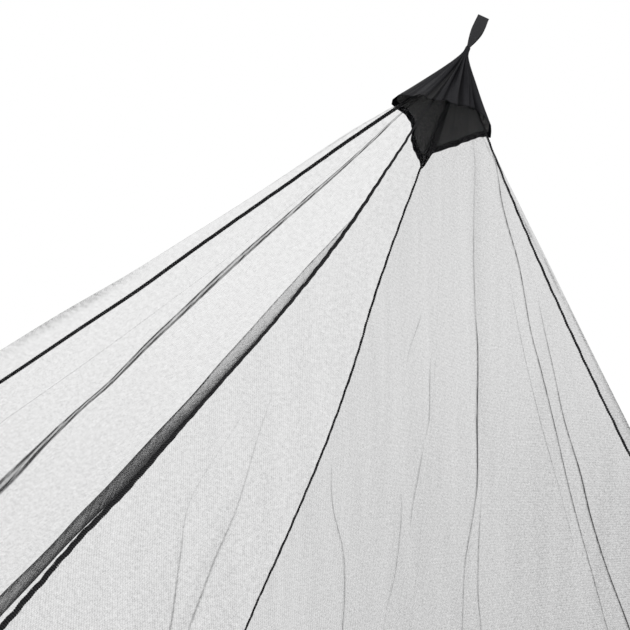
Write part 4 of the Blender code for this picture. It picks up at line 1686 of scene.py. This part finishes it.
@dataclass(frozen=True)
class Studio:
    """The pale floor, the soft light and the camera."""

    camera_at: tuple[float, float, float] = (2.559, -0.956, -1.516)
    azimuth_deg: float = -70.42
    elevation_deg: float = 18.48
    roll_deg: float = 24.99
    lens_mm: float = 104.46
    floor_z: float = -1.62

    def build_camera(self) -> None:
        """Place the camera as the photograph was taken, low and close to the front right corner."""
        azimuth, elevation, roll = map(math.radians, (self.azimuth_deg, self.elevation_deg, self.roll_deg))
        ahead = Vector((math.sin(azimuth), math.cos(azimuth), 0.0)) * math.cos(elevation)
        forward = ahead + Vector((0.0, 0.0, math.sin(elevation)))
        level = Vector((math.cos(azimuth), -math.sin(azimuth), 0.0))
        above = level.cross(forward)
        right = level * math.cos(roll) + above * math.sin(roll)
        upward = above * math.cos(roll) - level * math.sin(roll)
        data = bpy.data.cameras.new("camera")
        data.lens = self.lens_mm
        data.sensor_width = 36.0
        data.clip_start = 0.05
        data.clip_end = 50.0
        camera = bpy.data.objects.new("camera", data)
        turn = Matrix((right, upward, -forward)).transposed().to_4x4()
        camera.matrix_world = Matrix.Translation(self.camera_at) @ turn
        bpy.context.scene.collection.objects.link(camera)
        bpy.context.scene.camera = camera

    def build_floor(self) -> None:
        """Lay the pale floor under the net."""
        bpy.ops.object.select_all(action="DESELECT")
        bpy.ops.mesh.primitive_plane_add(size=24.0, location=(0.0, 0.0, self.floor_z))
        floor = bpy.context.active_object
        floor.name = "floor"
        made, pen, shader = new_material("floor_pale", PALE)
        place = pen.node("TexCoord")
        shade = pen.ranged(pen.noise(place.outputs["Object"], 3.0, 3.0), 0.3, 0.7, 0.0, 1.0)
        pen.feed(shader.inputs["Base Color"], pen.mixed(shade, PALE, PALER))
        shader.inputs["Roughness"].default_value = 0.9
        floor.data.materials.append(made)

    def build_light(self) -> None:
        """Set the white surround, a soft key light on the right and a weak fill in front."""
        world = bpy.data.worlds.new("white_surround")
        world.use_nodes = True
        background = world.node_tree.nodes["Background"]
        background.inputs["Color"].default_value = (1.0, 1.0, 1.0, 1.0)
        background.inputs["Strength"].default_value = 1.0
        bpy.context.scene.world = world
        for name, place, size, power in LAMPS:
            data = bpy.data.lights.new(name, "AREA")
            data.size = size
            data.energy = power
            lamp = bpy.data.objects.new(name, data)
            turn = (LIT_PLACE - Vector(place)).to_track_quat("-Z", "Y").to_matrix().to_4x4()
            lamp.matrix_world = Matrix.Translation(place) @ turn
            bpy.context.scene.collection.objects.link(lamp)

    def build(self) -> None:
        """Build all of it."""
        self.build_camera()
        self.build_floor()
        self.build_light()
        scene = bpy.context.scene
        scene.view_settings.view_transform = "Standard"
        scene.view_settings.look = "None"
        scene.cycles.transparent_max_bounces = 24


def main() -> None:
    """Build the canopy's pieces in order and report each one."""
    logging.basicConfig(level=logging.INFO, format="%(name)s: %(message)s")
    effects = Effects()
    Studio().build()
    thread = ThreadFinish(effects).make("black_thread")
    seams = [seam.build(thread) for seam in CORNER_SEAMS]
    net = NetFinish(effects)
    for panel in NET_PANELS:
        piece = panel.build(net)
        panel.declare(piece, [seam.name for seam in seams if seam.name[5:-7] in (panel.left, panel.right)])
    # The outside's mask is painted shade in the fold valleys.
    outside = ClothFinish(
        effects, colour=(0.015, 0.015, 0.017), low_colour=(0.008, 0.008, 0.009), roughness=0.50,
        threads_per_metre=1500.0, relief=0.25, sheen=0.0, shine=0.035, mask="valley",
        mask_colour=(0.0015, 0.0015, 0.002),
    )
    # The inside's mask is the turned hem band and a strip of painted shade by one corner.
    inner = ClothFinish(
        effects, colour=(0.105, 0.105, 0.105), low_colour=(0.012, 0.012, 0.012), roughness=0.8,
        threads_per_metre=640.0, relief=0.6, sheen=0.0, shine=0.05, mask="hem", cloud_scale=270.0, clouds=1.0,
    )
    webbing = ClothFinish(
        effects, colour=(0.015, 0.015, 0.017), low_colour=(0.007, 0.007, 0.008), roughness=0.5,
        threads_per_metre=900.0, relief=0.6, sheen=0.08, shine=0.2,
    )
    cap = CAP.build(outside.make("cap_outside"), inner.make("cap_inside"))
    stitches = CAP.stitches(thread)
    LOOP.build(webbing.make("webbing"))
    NeckBinding().build(thread)


if __name__ == "__main__":
    main()
